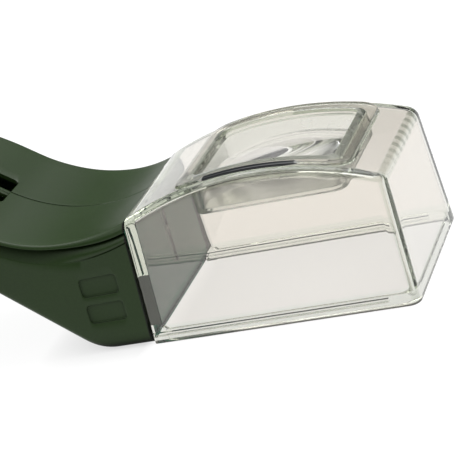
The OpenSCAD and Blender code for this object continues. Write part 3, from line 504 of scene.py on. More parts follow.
def belly_at(d):
    if d < BEND_0:
        return 0.0
    if d < BEND_1:
        return KNEE_R - sqrt(KNEE_R ** 2 - (d - BEND_0) ** 2)
    if d < LEVEL_D:
        return (d - KNEE_D) * tan(BELLY_SLOPE)
    return GRIP_Z - (GRIP_Z - LEVEL_Z) * exp(-LEVEL_RATE * (d - LEVEL_D))


class Section:
    """The handle's outside at d: half widths and heights, from the deck down to the belly."""

    def __init__(self, d):
        wide, taper = ramp(d / WIDEN_END), ramp((d - TAPER_D) / TAPER_LEN)
        self.taper, self.hook = taper, ramp((d / DIP_D - HOOK_START_SHARE) / HOOK_RUN_SHARE)
        self.top, self.belly = top_at(d), belly_at(d)
        self.deck = mix(mix(DECK_Y, DECK_BACK_Y, ramp(d / DECK_BACK_D)), GRIP_Y, taper)
        self.skirt = mix(HALF_W, GRIP_Y, taper)
        self.draft = mix(DRAFT, DRAFT / 2, wide) * (1 - taper)
        self.crown = CROWN * mix(CROWN_FRONT_SHARE, 1, taper)
        self.cove_deep = COVE_DEEP * mix(COVE_DEEP_SHARE, 1, self.hook) * (1 - taper)
        self.cove_high = (COVE_HIGH * mix(COVE_FRONT_SHARE, 1, wide)
                          * mix(1, COVE_GRIP_SHARE, taper))
        room = ROUND_SHARE * (self.top - self.belly - self.crown - self.cove_high)
        self.edge = min(mix(mix(DECK_EDGE_R, DECK_BACK_EDGE_R, wide), GRIP_R, taper), room)
        self.belly_edge = min(mix(BELLY_EDGE_R, GRIP_R, taper), room)
        self.cove_z = self.top - self.crown - self.edge
        self.side_z = self.cove_z - self.cove_high
        self.low_z = self.belly + self.belly_edge
        self.side = self.skirt - self.draft * (self.side_z - self.belly)
        self.bulge = BULGE_SHARE * (self.cove_z - self.low_z) * taper

    def cove_at(self, t):
        """Cove under the deck's edge: a bead near the joint, a deep undercut further back."""
        bead, undercut = (np.interp(t, COVE_SHARES, line) for line in (BEAD, UNDERCUT))
        return mix(bead, undercut, self.hook) * (1 - self.taper)

    def out(self, z):
        """How far the grip's rounded side stands out at a height."""
        u = (self.cove_z - z) / max(self.cove_z - self.low_z, 1e-6)
        return self.bulge * sin(pi * min(max(u, 0), 1)) ** 0.8 if self.bulge else 0.0


def outer_profile(d):
    """Half outline at d, from the top seam down to the bottom seam, as (y, z)."""
    s = Section(d)
    g = mix(SEAM_FRONT, SEAM_BACK, ramp(d / SEAM_BACK_D))
    flat = s.deck - s.edge
    pts = [(0, s.top - g), (0.14, s.top - g * 0.75), (0.3, s.top - g * 0.1), (0.5, s.top)]
    pts += [(flat * t, s.top - s.crown * t * t) for t in np.linspace(0.04, 1, 9)[:-1]]
    pts += [(flat + y, s.cove_z + z) for y, z in arc(90, 0, 10, s.edge)[:-1]]
    for t in COVE_ROW_SHARES:
        z = s.cove_z - s.cove_high * t
        pts.append((mix(s.deck, s.side, t) + s.cove_at(t) + s.out(z), z))
    for t in np.linspace(0, 1, 9)[:-1]:
        z = mix(s.side_z, s.low_z, t)
        pts.append((mix(s.side, s.skirt, t) + s.out(z), z))
    low = s.skirt - s.belly_edge
    pts += [(low + y, s.low_z - z) for y, z in arc(0, 90, 9, s.belly_edge)[:-1]]
    pts += [(low * (1 - t), s.belly) for t in np.linspace(0, 1, 6)]
    return np.array(pts)


def inner_profile(d, count):
    """The half outline inside the shell, as many points as outside, evenly spaced."""
    s, t = Section(d), SHELL_T
    slope = 1 / cos(mix(BELLY_SLOPE, 0, s.taper) * ramp((d - BEND_0) / DIP_D))
    deck, top_t, belly_t = s.deck - s.cove_deep - t, t * slope, BELLY_T * slope
    r = max(s.edge - t, t / 4)
    deck_z = s.top - s.crown - top_t
    neck_z = mix(s.side_z - t * 0.8, (s.cove_z + s.low_z) / 2, s.taper)
    low = s.skirt - s.belly_edge
    belly_y, belly_z = s.belly_edge - BELLY_T, s.belly_edge - belly_t
    half_draft = s.draft * (s.side_z - s.belly) / 2
    (c30, s30), (c60, s60) = arc(30, 60, 2, 1.0)
    pts = np.array([
        (0, s.top - top_t), ((deck - r) / 2, s.top - s.crown / 4 - top_t), (deck - r, deck_z),
        (deck - r + r * c60, deck_z - r + r * s60), (deck - r + r * c30, deck_z - r + r * s30),
        (deck, deck_z - r), (deck + s.bulge * 0.4, mix(deck_z - r, neck_z, 0.4)),
        (deck + s.bulge * 0.75, mix(deck_z - r, neck_z, 0.75)), (s.side - t + s.bulge, neck_z),
        (s.skirt - half_draft - t + s.bulge * 0.8, (neck_z + s.low_z) / 2),
        (s.skirt - BELLY_T, s.low_z),
        (low + belly_y * c30, s.low_z - belly_z * s30),
        (low + belly_y * c60, s.low_z - belly_z * s60),
        (low, s.belly + belly_t), (low / 2, s.belly + belly_t), (0, s.belly + belly_t)])
    run = np.concatenate([[0], np.cumsum(np.hypot(*np.diff(pts, axis=0).T))])
    at = np.linspace(0, run[-1], count)
    return np.column_stack([np.interp(at, run, pts[:, 0]), np.interp(at, run, pts[:, 1])])


def butt_share(d, least_square=0.0004):
    """How much of its cross-section the handle keeps in its round butt end."""
    u = max(d - BUTT_D, 0) / BUTT_LEN
    return sqrt(max(1 - u * u, least_square))


def placed(profile, d, sign):
    share, middle = butt_share(d), (top_at(d) + belly_at(d)) / 2
    z = middle + (profile[:, 1] - middle) * share
    x = LEAN * z * max(1 - d / WIDEN_END, 0) - d
    return np.column_stack([x, sign * profile[:, 0] * share, z])


def half_shell(name, sign):
    ds = np.concatenate([np.linspace(HALF_GAP, BUTT_D, 118),
                         BUTT_D + BUTT_LEN * np.sin(np.radians(np.linspace(0, 88, 15)[1:]))])
    hollow = [d for d in ds if d < HANDLE_LEN - 5.0]
    n = len(outer_profile(DIP_D))
    outer = [placed(outer_profile(d), d, sign) for d in ds]
    inner = [placed(inner_profile(d, n), d, sign) for d in hollow]
    faces = []
    o = lambda i, j: i * n + j
    k = lambda i, j: len(ds) * n + i * n + j
    last, end = len(hollow) - 1, len(ds) - 1
    for i in range(end):
        for j in range(n - 1):
            faces.append((o(i, j), o(i, j + 1), o(i + 1, j + 1), o(i + 1, j)))
    for i in range(last):
        for j in range(n - 1):
            faces.append((k(i, j), k(i + 1, j), k(i + 1, j + 1), k(i, j + 1)))
        faces.append((o(i, 0), o(i + 1, 0), k(i + 1, 0), k(i, 0)))
        faces.append((o(i, n - 1), k(i, n - 1), k(i + 1, n - 1), o(i + 1, n - 1)))
    for j in range(n - 1):
        faces.append((o(0, j), k(0, j), k(0, j + 1), o(0, j + 1)))
    faces.append([k(last, j) for j in range(n)])
    faces.append([o(end, j) for j in range(n)])
    rear = [o(i, 0) for i in range(last, end + 1)]
    rear += [o(i, n - 1) for i in range(end, last - 1, -1)]
    faces.append(rear + [k(last, n - 1), k(last, 0)])
    return new_piece(name, np.concatenate(outer + inner), faces, 40)


# The door's path in side view
def on_arc(angle, offset=0.0):
    """A point of the path over the hump, or above it, at an angle from upright."""
    return (HUMP_C[0] + (SHEET_R + offset) * sin(angle),
            HUMP_C[1] + (SHEET_R + offset) * cos(angle))


def path(offset, x0, end_deg, bend_steps=14, arc_steps=60):
    r = SHEET_BEND_R - offset
    pts = [(x0, SHEET_Z + offset)]
    pts += [(BEND_X - r * sin(a), SHEET_Z + SHEET_BEND_R - r * cos(a))
            for a in np.linspace(0, BELLY_SLOPE, bend_steps + 1)]
    return pts + [on_arc(a, offset)
                  for a in np.linspace(BELLY_SLOPE, radians(end_deg), arc_steps + 1)]


# Handle: what is joined to its shell and cut out of it
def post_end(i):
    """Where a screw post ends, inside the shell's wall."""
    s, share = Section(SCREW_D[i]), butt_share(SCREW_D[i], 0.08)
    middle = (s.top + s.belly) / 2
    z = middle + (SCREW_Z[i] - FAR_POST_R - middle) / share
    low = max(s.low_z - z, 0)
    side = (s.skirt - s.draft * max(z - s.belly, 0) - s.belly_edge
            + sqrt(max(s.belly_edge ** 2 - low ** 2, 0)))
    return side * share - SHELL_T * 0.4


def slot_cutter():
    """The slot's opening with round corners in plan and a small chamfer round its mouth."""
    r, w, lip, chamfer, deep, high = SLOT_W / 10, SLOT_W / 2, 0.45, 0.32, 6.0, 3.0
    skim = 0.02     # the mouth's edge above the deck, so the cutter never lies in its surface
    length = SLOT_BACK - SLOT_FRONT
    front = [-lip, -0.3, -0.15, 0.02, 0.1, 0.25, 0.5, 0.8, 1.1, 1.4, r]
    steps = front + list(np.linspace(r, length - r, 58)[1:-1]) + [length - v for v in front[::-1]]
    rings = []
    for s in steps:
        end = min(s, length - s)
        room = min(end + lip, r + lip)
        wo = w - r + sqrt(max((r + lip) ** 2 - (r + lip - room) ** 2, 1e-4))
        if end > 0:
            wi = w - r + sqrt(max(r * r - (r - min(end, r)) ** 2, 1e-4))
            mid, low = chamfer, deep
        else:
            wi = wo - 0.6 * (end + lip)
            mid = chamfer * (end + lip) / lip
            low = mid + 0.004
        d = SLOT_FRONT + s
        rings.append([(-d, y, top_at(d) + h) for y, h in
                      ((-wo, high), (wo, high), (wo, skim), (wi, -mid), (wi, -low), (-wi, -low),
                       (-wi, -mid), (-wo, skim))])
    return loft("slot", rings)


def slot_rail(sign):
    ds = np.linspace(SLOT_FRONT - RAIL_MORE, SLOT_BACK + RAIL_MORE, 64)
    line = [(-d, top_at(d) - RAIL_DROP) for d in ds]
    low = [(-d, top_at(d) - RAIL_DROP - RAIL_T) for d in ds[::-1]]
    rail = prism("rail", line + low, 0.0, sign * RAIL_W / 2)
    add_bevel(rail, 0.3)
    return rail


def skirt_face(d, z):
    """Half width of the near neck's skirt at a distance and a height."""
    s = Section(d)
    share = max(z - s.low_z, 0) / (s.side_z - s.low_z)
    return mix(s.skirt, s.side, share)


def panel_cutter(z_mid):
    """Rounded tray cutter that follows the skirt, with soft edges at its floor and its mouth."""
    rings = []
    for grow, out in ((-0.45, -PANEL_DEEP), (-0.18, 0.05 - PANEL_DEEP), (0.0, 0.25 - PANEL_DEEP),
                      (0.0, -PANEL_DEEP / 2), (0.12, -0.1), (0.4, 0.04), (0.4, 2.5)):
        rings.append([(u - PANEL_D, -skirt_face(PANEL_D - u, z_mid + v) - out, z_mid + v)
                      for u, v in small_rect(PANEL_L + 2 * grow, PANEL_H + 2 * grow,
                                             PANEL_R + grow)])
    return loft("tray", rings)


def bulkhead(sign):
    """The plate behind the chamber, with gaps for the door and the tongue."""
    z0, z1 = BELLY_T / 2, top_at(SHELL_T) - SHELL_T / 2
    side, shoulder_z, deck = HALF_W - SHELL_T / 2, 0.85 * WALL_H, DECK_Y - COVE_DEEP
    outline = [(0, z0), (HALF_W - BELLY_EDGE_R, z0), (side, BELLY_EDGE_R),
               (side - DRAFT * shoulder_z, shoulder_z),
               (deck + 0.3 * COVE_DEEP, z1 - 0.8 * DECK_EDGE_R), (deck, z1), (0, z1)]
    plate = loft("plate", [[(x + LEAN * z, sign * y, z) for y, z in outline]
                           for x in (-HALF_GAP - SHELL_T, -HALF_GAP)])
    gaps = []
    for name, y, low, high in (("door_gap", GROOVE_Y, GROOVE_Z0, GROOVE_Z1),
                               ("tongue_gap", TONGUE_Y + SEAT_GAP, TONGUE_Z0 - SEAT_GAP,
                                TONGUE_Z1 + SEAT_GAP)):
        lo, hi = sorted((-sign, sign * y))
        gaps.append(box_mesh(name, (-OVER, lo, low), (OVER, hi, high)))
    return boolean(plate, gaps, "DIFFERENCE")


def handle_half(name, sign):
    near = sign < 0
    obj = half_shell(name, sign)
    rib = path(RIB_LOW, -HALF_GAP - SHELL_T / 2, WIDE_END_DEG)
    rib += path(RIB_HIGH, -HALF_GAP - SHELL_T / 2, WIDE_END_DEG)[::-1]
    inside = [bulkhead(sign), prism("rib", rib, sign * RIM_Y, sign * RIB_Y)]
    cutters = [slot_cutter()]
    for i, (d, z) in enumerate(zip(SCREW_D, SCREW_Z)):
        y0 = TONGUE_Y + SEAT_GAP if i == 0 else 0.0
        inside.append(rod("post", (-d, sign * y0, z), (0, sign, 0),
                          NEAR_POST_R if near else FAR_POST_R, post_end(i) - y0))
        if near:
            cutters.append(rod("bore", (-d, 1.0, z), (0, -1, 0), NEAR_BORE_R, NEAR_BORE_LEN, 32))
        else:
            cutters.append(rod("bore", (-d, -1.0, z), (0, 1, 0), FAR_BORE_R, FAR_BORE_LEN, 32))
            cutters.append(rod("sink", (-d, HEAD_SEAT_Y, z), (0, 1, 0), HEAD_BORE_R, FAR_BORE_LEN))
    if near:
        cutters += [panel_cutter(z) for z in PANEL_HEIGHTS]
    boolean(obj, inside, "UNION")
    boolean(obj, cutters, "DIFFERENCE")
    boolean(obj, [slot_rail(sign)], "UNION")
    tidy_mesh(obj, 38)
    return obj


# Slider, door and screws
def hump_place(deg):
    """Slider frame: z out from the hump's centre, x forward, turned back by deg."""
    turn = Matrix.Rotation(radians(-deg), 4, "Y")
    return Matrix.Translation((-HUMP_D, 0, HUMP_Z)) @ turn


OPEN_PLACE = hump_place(OPEN_DEG)


def slider_piece():
    under = lambda x: sqrt((HUMP_R + PAD_GAP) ** 2 - x * x)
    over = lambda x: HUMP_R + PAD_GAP + PAD_H - PAD_FALL * x * x

    def ring(grow, height, more=0.0):
        flat = np.array(small_rect(PAD_LEN + 2 * grow, PAD_W + 2 * grow, PAD_R + grow, 10))
        return np.column_stack([flat, [height(x) + more for x in flat[:, 0]]])

    foot, side = ring(0, under, 0.3), ring(0, over, -PAD_EDGE)
    rings = [ring(-4.0, under), ring(-0.3, under), foot, foot * 0.5 + side * 0.5]
    rings += bezier(side, ring(0, over), ring(-PAD_EDGE, over), 6)
    rings += [ring(-2.2, over, -0.1), ring(-3.2, over, -0.45)]
    obj = loft("thumb_pad", rings, place=OPEN_PLACE)
    adds = []
    for i in range(1, RIDGES + 1):
        x = i * PAD_LEN / (RIDGES + 1) - PAD_LEN / 2
        z = over(x) - RIDGE_SINK + RIDGE_LIFT
        ridge = [[(x + RIDGE_X_R * share * u, y, z + RIDGE_Z_R * share * v)
                  for u, v in circle(1.0, 14)] for y, share in RIDGE_ENDS]
        adds.append(loft("ridge", ridge, place=OPEN_PLACE))
    for s in (-1, 1):
        low = SHEET_R + 0.25
        leg = box_mesh("leg", (-LEG_L / 2, s * LEG_Y - LEG_W / 2, low),
                       (LEG_L / 2, s * LEG_Y + LEG_W / 2, low + LEG_H), OPEN_PLACE)
        add_bevel(leg, 0.4)
        adds.append(leg)
    boolean(obj, adds, "UNION")
    tidy_mesh(obj, 40)
    return obj


def clamp_piece():
    low = CLAMP_TOP - CLAMP_T
    rings = [[(x, y, z) for x, y in small_rect(LEG_L + 2 * grow, 2 * LEG_Y + LEG_W + 2 * grow,
                                               CLAMP_R + grow)]
             for grow, z in ((-0.4, low), (0, low + 0.4), (0, CLAMP_TOP - 0.3), (-0.3, CLAMP_TOP))]
    obj = loft("sheet_clamp", rings, place=OPEN_PLACE)
    past_top, past_foot = 3.0, 4.0      # how far the cutters reach, both from the clamp's top
    cuts = []
    for s in (-1, 1):
        for r, z0, z1 in ((CLAMP_BORE_R, CLAMP_TOP - OVER, CLAMP_TOP + past_top),
                          (CLAMP_HEAD_R, CLAMP_TOP - past_foot, low + CLAMP_SINK)):
            bore = [[(u, s * LEG_Y + v, z) for u, v in circle(r, 32)] for z in (z0, z1)]
            cuts.append(loft("bore", bore, place=OPEN_PLACE))
    boolean(obj, cuts, "DIFFERENCE")
    tidy_mesh(obj, 40)
    return obj


def door_bar():
    """The bar's nose fits between the rims, and its wide rear part runs in the grooves."""
    shoulder = GROOVE_END - TRAVEL - BAR_STOP_GAP
    x, y = DOOR_FRONT - BAR_R, BAR_NOSE_Y - BAR_R
    outline = [(BAR_BACK, -BAR_Y), (shoulder, -BAR_Y), (shoulder, -BAR_NOSE_Y)]
    outline += [(x + u, v - y) for u, v in arc(-90, 0, 9, BAR_R)]
    outline += [(x + u, v + y) for u, v in arc(0, 90, 9, BAR_R)]
    outline += [(shoulder, BAR_NOSE_Y), (shoulder, BAR_Y), (BAR_BACK, BAR_Y)]
    obj = loft("door_bar", [[(u, v, z) for u, v in outline] for z in (BAR_Z0, BAR_Z1)])
    add_bevel(obj, BAR_BEVEL)
    tidy_mesh(obj, 40)
    return obj


def sheet_part(name, line, half_w):
    """A thin strip along points (x, z), both faces and edges closed."""
    pts = np.asarray(line, float)
    tangent = np.gradient(pts, axis=0)
    tangent /= np.hypot(*tangent.T)[:, None]
    normal = np.column_stack([-tangent[:, 1], tangent[:, 0]]) * SHEET_T / 2
    ys = np.linspace(-half_w, half_w, 9)
    rings = [[(a[0], y, a[1]) for y in ys] + [(b[0], y, b[1]) for y in ys[::-1]]
             for a, b in zip(pts + normal, pts - normal)]
    return loft(name, rings, smooth_angle=40)


def sheet_pieces():
    flat = [(x, SHEET_Z) for x in np.linspace(BAR_BACK, BEND_X + 0.01, 26)]
    tail = [on_arc(a) for a in np.radians(np.linspace(SHOULDER_DEG, TAIL_END_DEG, 80))]
    return (sheet_part("door_sheet_front", flat, SHEET_Y),
            sheet_part("door_sheet_wide", path(0, BEND_X, SHOULDER_DEG, 16, 6)[1:], SHEET_Y),
            sheet_part("door_sheet_tail", tail, TAIL_Y))


def screw(name, head_r, head_h, shank_r, length, place):
    """A cross-head screw along a local z, its head above zero; the shares are of its own sizes."""
    profile = [(0.0, head_h)]
    profile += [(head_r * t * 0.97, head_h * (1 - 0.16 * t ** 3)) for t in np.linspace(0.15, 1, 7)]
    profile += [(head_r, head_h * 0.6), (head_r, 0.12), (head_r * 0.96, 0.0), (shank_r, 0.0)]
    pitch, root_share, point = 0.9, 0.74, 0.6
    z = -0.4
    while z > -length + point + 1.0:
        profile += [(shank_r, z), (shank_r * root_share, z - pitch * 0.35),
                    (shank_r * root_share, z - pitch * 0.6)]
        z -= pitch
    profile += [(shank_r, z), (shank_r * 0.5, -length + point), (0.0, -length)]
    obj = lathe(name, profile, place)
    w, l, deep = head_r * 0.28, head_r * 1.25, head_h * 0.62
    for deg in (0, 90):
        recess = box_mesh("recess", (-l / 2, -w / 2, head_h - deep), (l / 2, w / 2, head_h + 1),
                          place @ Matrix.Rotation(radians(deg), 4, "Z"), low_share=0.45)
        boolean(obj, [recess], "DIFFERENCE")
    tidy_mesh(obj, 35)
    return obj


# Materials: fields are numbers over a surface, and arithmetic on them makes the nodes
def fill(node, values):
    for name, value in values.items():
        node.inputs[name].default_value = value


def add_node(mat, kind, values=None):
    """A new node, with values for its inputs by name if any are given."""
    node = mat.node_tree.nodes.new("ShaderNode" + kind)
    fill(node, values or {})
    return node


def link(mat, out, place):
    mat.node_tree.links.new(out, place)


def shader_of(mat):
    return mat.node_tree.nodes["Principled BSDF"]


class Field:
    """A number that varies over the surface of a material."""

    def __init__(self, mat, out):
        self.mat, self.out = mat, out

    def __add__(self, other):
        return math_node(self.mat, "ADD", self, other)

    def __sub__(self, other):
        return math_node(self.mat, "SUBTRACT", self, other)

    def __rsub__(self, other):
        return math_node(self.mat, "SUBTRACT", other, self)

    def __mul__(self, other):
        return math_node(self.mat, "MULTIPLY", self, other)

    def __abs__(self):
        return math_node(self.mat, "ABSOLUTE", self)

    def clamped(self):
        """Hold the result between 0 and 1."""
        self.out.node.use_clamp = True
        return self

    def drive(self, name):
        """Lead the field into one of the shader's inputs."""
        link(self.mat, self.out, shader_of(self.mat).inputs[name])


def math_node(mat, operation, *values):
    node = add_node(mat, "Math")
    node.operation = operation
    for place, value in zip(node.inputs, values):
        if isinstance(value, Field):
            link(mat, value.out, place)
        else:
            place.default_value = value
    return Field(mat, node.outputs[0])


def coordinates(mat):
    return add_node(mat, "TexCoord").outputs["Object"]


def split(mat, vector):
    node = add_node(mat, "SeparateXYZ")
    link(mat, vector, node.inputs[0])
    return [Field(mat, out) for out in node.outputs]


def tool_axes(mat):
    """The surface's x, y and z in the tool's millimetres."""
    x, y, z = (axis * MM for axis in split(mat, coordinates(mat)))
    return x - SHIFT, y, z


def noise(mat, scale, detail):
    node = add_node(mat, "TexNoise", {"Scale": scale, "Detail": detail})
    link(mat, coordinates(mat), node.inputs["Vector"])
    return Field(mat, node.outputs["Fac"])


def map_range(field, from_low, from_high, to_low, to_high):
    """Move a field from one range to another and hold it at the ends."""
    node = add_node(field.mat, "MapRange", {"From Min": from_low, "From Max": from_high,
                                            "To Min": to_low, "To Max": to_high})
    link(field.mat, field.out, node.inputs["Value"])
    return Field(field.mat, node.outputs["Result"])


def band(field, low, high, soft):
    """1 between low and high and 0 outside, with soft edges."""
    return ((field - low) * (1 / soft)).clamped() * ((high - field) * (1 / soft)).clamped()


def openness(mat, reach, samples):
    """1 in the open, less where another surface is within reach, in metres."""
    node = add_node(mat, "AmbientOcclusion", {"Distance": reach})
    node.samples = samples
    return Field(mat, node.outputs["AO"])


def above_roof(x, z):
    """Height above the chamber's arched roof."""
    from_mid = x - MID_X
    return z - (math_node(x.mat, "SQRT", ROOF_R ** 2 - from_mid * from_mid) + ROOF_Z)


def lead(share, colour):
    """Mix the base colour towards another colour by a share between 0 and 1."""
    base = shader_of(share.mat).inputs["Base Color"]
    node = add_node(share.mat, "Mix")
    node.data_type = "RGBA"
    factor, colour_a, colour_b = (node.inputs[i] for i in (0, 6, 7))
    if base.is_linked:
        link(share.mat, base.links[0].from_socket, colour_a)
    else:
        colour_a.default_value = base.default_value[:]
    colour_b.default_value = (*colour, 1.0)
    link(share.mat, share.out, factor)
    link(share.mat, node.outputs[2], base)


def absorb(mat, loss):
    """Volume absorption, per metre for red, green and blue."""
    density = 100.0
    volume = add_node(mat, "VolumeAbsorption", {
        "Color": (*[1 - v / density for v in loss], 1.0), "Density": density})
    link(mat, volume.outputs["Volume"], mat.node_tree.nodes["Material Output"].inputs["Volume"])


def crease_shade(mat, reach, dark, specular):
    """Painted shade: darken the colour and the gloss where surfaces close in, and dull the gloss of
    level faces as painted shade on the tops.
    """
    share = map_range(openness(mat, reach, 6), 0.42, 0.92, dark, 1.0)
    upright = split(mat, add_node(mat, "NewGeometry").outputs["Normal"])[2]
    level = ((upright - 0.88) * 9.0).clamped()
    (share * (specular - level * (0.6 * specular))).drive("Specular IOR Level")
    base = shader_of(mat).inputs["Base Color"]
    scale = add_node(mat, "VectorMath")
    scale.operation = "SCALE"
    link(mat, base.links[0].from_socket, scale.inputs[0])
    link(mat, share.out, scale.inputs["Scale"])
    link(mat, scale.outputs[0], base)


def plastic(name, colour, rough, rough_spread, relief, grain=None, spread=0.12, specular=0.5,
            metal=0.0):
    """Moulded plastic: roughness drift, relief (its noise scale, depth in metres and strength)
    and the scale of the colour's grain; a plastic without grain is clear."""
    mat = bpy.data.materials.new(name)
    mat.use_nodes = True
    shader = shader_of(mat)
    fill(shader, {"IOR": 1.49, "Metallic": metal, "Specular IOR Level": specular})
    drift = noise(mat, 38.0, 4.0)
    if grain is None:
        fill(shader, {"Transmission Weight": 1.0, "Base Color": (*colour, 1.0)})
    else:
        tone = add_node(mat, "ValToRGB")
        for end, place, share in zip(tone.color_ramp.elements, (0.3, 0.72),
                                     (1 - spread, 1 + spread)):
            end.position = place
            end.color = (*[c * share for c in colour], 1)
        both = noise(mat, grain, 3.0) * 0.45 + drift * 0.55
        link(mat, both.out, tone.inputs["Fac"])
        link(mat, tone.outputs["Color"], shader.inputs["Base Color"])
    map_range(drift, 0.35, 0.7, max(rough - rough_spread, 0.0),
              rough + rough_spread).drive("Roughness")
    scale, depth, strength = relief
    bump = add_node(mat, "Bump", {"Strength": strength, "Distance": depth})
    link(mat, noise(mat, scale, 2.0).out, bump.inputs["Height"])
    link(mat, bump.outputs["Normal"], shader.inputs["Normal"])
    return mat


def shell_material():
    """Clear plastic with painted shade in its end wall, its edges and its rim, painted light over
    its roof, and bars along the roof's front edge.
    """
    mat = plastic("clear_shell", (0.865, 0.835, 0.795), 0.0, 0.02, (60, 0.0004, 0.05))
    absorb(mat, (6.5, 5.5, 7.5))
    x, y, z = tool_axes(mat)
    edge_in, edge_out, edge_soft = 2.6, -2.0, 0.6
    side, front, top = (band(depth, edge_out, edge_in, edge_soft) for depth in (
        HALF_W - (z * DRAFT + abs(y)), CHAMBER_LEN - (z * LEAN + x), above_roof(x, z) * -1.0))
    front_edge = front * top
    edges = math_node(mat, "MAXIMUM", side * top, front_edge)
    # painted shade on the end wall, painted light over the roof, painted shade in the rim and
    # darker painted shade in the edges
    lead(front, (0.845, 0.82, 0.785))
    lead(top, (0.95, 0.93, 0.89))
    lead(band(z, -1.0, RIM_H + 2.0, 0.4), (0.80, 0.80, 0.75))
    lead(math_node(mat, "MAXIMUM", side * front, edges), (0.60, 0.62, 0.55))
    pitch, fade_start, fade_run = 5.0, -22.0, 20.0
    waves = math_node(mat, "SINE", y * (TURN / pitch)) * 1.6
    far_share = ((y - fade_start) * (1 / fade_run)).clamped()
    lead((waves + 0.3).clamped() * far_share * front_edge, (0.24, 0.27, 0.22))
    return mat


def frame_material():
    """Clear plastic, frosted below the flange, with a narrow band of painted black shade along the
    near flange.
    """
    mat = plastic("clear_frame", (0.89, 0.88, 0.845), 0.05, 0.03, (90, 0.0004, 0.06))
    absorb(mat, (22.0, 19.0, 24.0))
    x, y, z = tool_axes(mat)
    height = above_roof(x, z)
    frost_run, frost_rough = 2.0, 0.22
    frosted = ((-SEAT_DEPTH - height) * (1 / frost_run)).clamped()
    rough = Field(mat, shader_of(mat).inputs["Roughness"].links[0].from_socket)
    (rough + frosted * frost_rough).drive("Roughness")
    lead(frosted, (0.955, 0.965, 0.94))
    # the painted black shade is highest at its middle and runs out towards both ends
    middle, half_len, half_high, slit_z, soft = 43.0, 21.0, 1.5, 0.6, 0.2
    along = (x - middle) * (1 / half_len)
    reach = (1.0 - along * along) * half_high
    near = ((reach - abs(height - slit_z)) * (1 / soft)).clamped()
    rear_x, front_x, near_y, far_y, end_soft = 30.0, 62.6, -30.0, -23.2, 0.6
    slit_shade = near * band(x, rear_x, front_x, end_soft) * band(y, near_y, far_y, soft)
    # paint the band black and opaque, as painted shade
    lead(slit_shade, (0.004, 0.006, 0.008))
    (1.0 - slit_shade).drive("Transmission Weight")
    return mat


def handle_material():
    """Dark green plastic; painted shade where surfaces close in, painted light on the plate behind
    the chamber, painted shade on the lip along the joint.
    """
    shine = 0.25
    mat = plastic("handle_green", (0.016, 0.035, 0.0078), 0.36, 0.06, (2600, 0.00008, 0.35),
                  grain=1500, spread=0.16, specular=shine)
    # painted shade where surfaces close in and on the level tops
    crease_shade(mat, 0.006, 0.08, shine)
    x, y, z = tool_axes(mat)
    past_joint = x - z * LEAN
    plate_z, plate_y, below = 39.2, 28.5, -10.0
    inward = band(z, below, plate_z, 0.5) * band(abs(y), below, plate_y, 0.5)
    # painted light: the plate's face towards the chamber is lighter and greener
    lead(band(past_joint, -1.2, 1.0, 0.3) * inward, (0.035, 0.16, 0.095))
    # painted shade: the lip along the joint, outside the plate, is near black
    lead(band(past_joint, -0.85, 2.0, 0.3) * (1.0 - inward), (0.003, 0.006, 0.002))
    return mat


def floor_material():
    """White paper that glows, so it stays plain, with the object's soft contact shadow."""
    mat = bpy.data.materials.new("floor_paper")
    mat.use_nodes = True
    fill(shader_of(mat), {"Base Color": (0.12, 0.12, 0.12, 1), "Emission Color": (1, 1, 1, 1),
                          "Roughness": 0.85, "Specular IOR Level": 0.1})
    x, y, _ = tool_axes(mat)
    covered = 1.0 - openness(mat, 0.016, 8)
    under_handle = band(x, -2 * HANDLE_LEN, 0.0, 4.0)
    under_chamber = band(x, 0.0, CHAMBER_LEN, 6.0) * band(y, -HALF_W, HALF_W, 6.0)
    glow, handle_shade, chamber_shade = 0.93, 0.3, 0.1
    shade = covered * under_handle * handle_shade + under_chamber * chamber_shade
    (glow - shade).drive("Emission Strength")
    return mat


clear = shell_material()
clear_frame = frame_material()
lens = plastic("lens", (0.93, 0.93, 0.915), 0.0, 0.01, (40, 0.0003, 0.02))
clear_door = plastic("clear_door", (0.85, 0.87, 0.85), 0.16, 0.05, (70, 0.0004, 0.1))
green = handle_material()
dark = plastic("slider_dark", (0.016, 0.021, 0.017), 0.38, 0.07, (2200, 0.00008, 0.3),
               grain=1500, spread=0.2)
steel = plastic("screw_steel", (0.55, 0.56, 0.57), 0.3, 0.08, (3000, 0.00003, 0.2),
                grain=2500, metal=1.0)


# The object
def give(obj, mat, slot, body=None, *nodes):
    obj.data.materials.clear()
    obj.data.materials.append(mat)
    if body:
        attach(obj, body)
    if nodes:
        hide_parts(*nodes)


def frame_point(x, z):
    """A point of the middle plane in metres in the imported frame."""
    return (x + SHIFT) / MM, 0, z / MM


give(chamber_piece(), clear, "clear_shell", "handle", "chamber")
give(frame_piece(), clear_frame, "clear_frame", "handle", "lens_frame")
give(lens_piece(), lens, "lens", "handle", "magnifier_lens")
give(handle_half("handle_near", -1), green, "handle", "handle", "handle_left")
give(handle_half("handle_far", 1), green, "handle", "handle", "handle_right")
give(slider_piece(), dark, "slider", "slider", "thumb_slider")
give(clamp_piece(), dark, "slider", "slider", "slider_clamp")
give(door_bar(), clear_door, "clear_door", "door", "trap_door")
sheet_front, sheet_wide, sheet_tail = sheet_pieces()
give(sheet_front, clear_door, "clear_door")
frame_point(BEND_X, SHEET_Z)
frame_point(BAR_BACK, SHEET_Z)
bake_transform(sheet_front)
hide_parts("door_sheet")
give(sheet_wide, clear_door, "clear_door", "handle", "door_sheet")
give(sheet_tail, clear_door, "clear_door")
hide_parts("door_sheet")
frame_point(*on_arc(radians(SHOULDER_DEG)))
frame_point(*on_arc(radians(TAIL_HELD_DEG)))
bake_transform(sheet_tail)
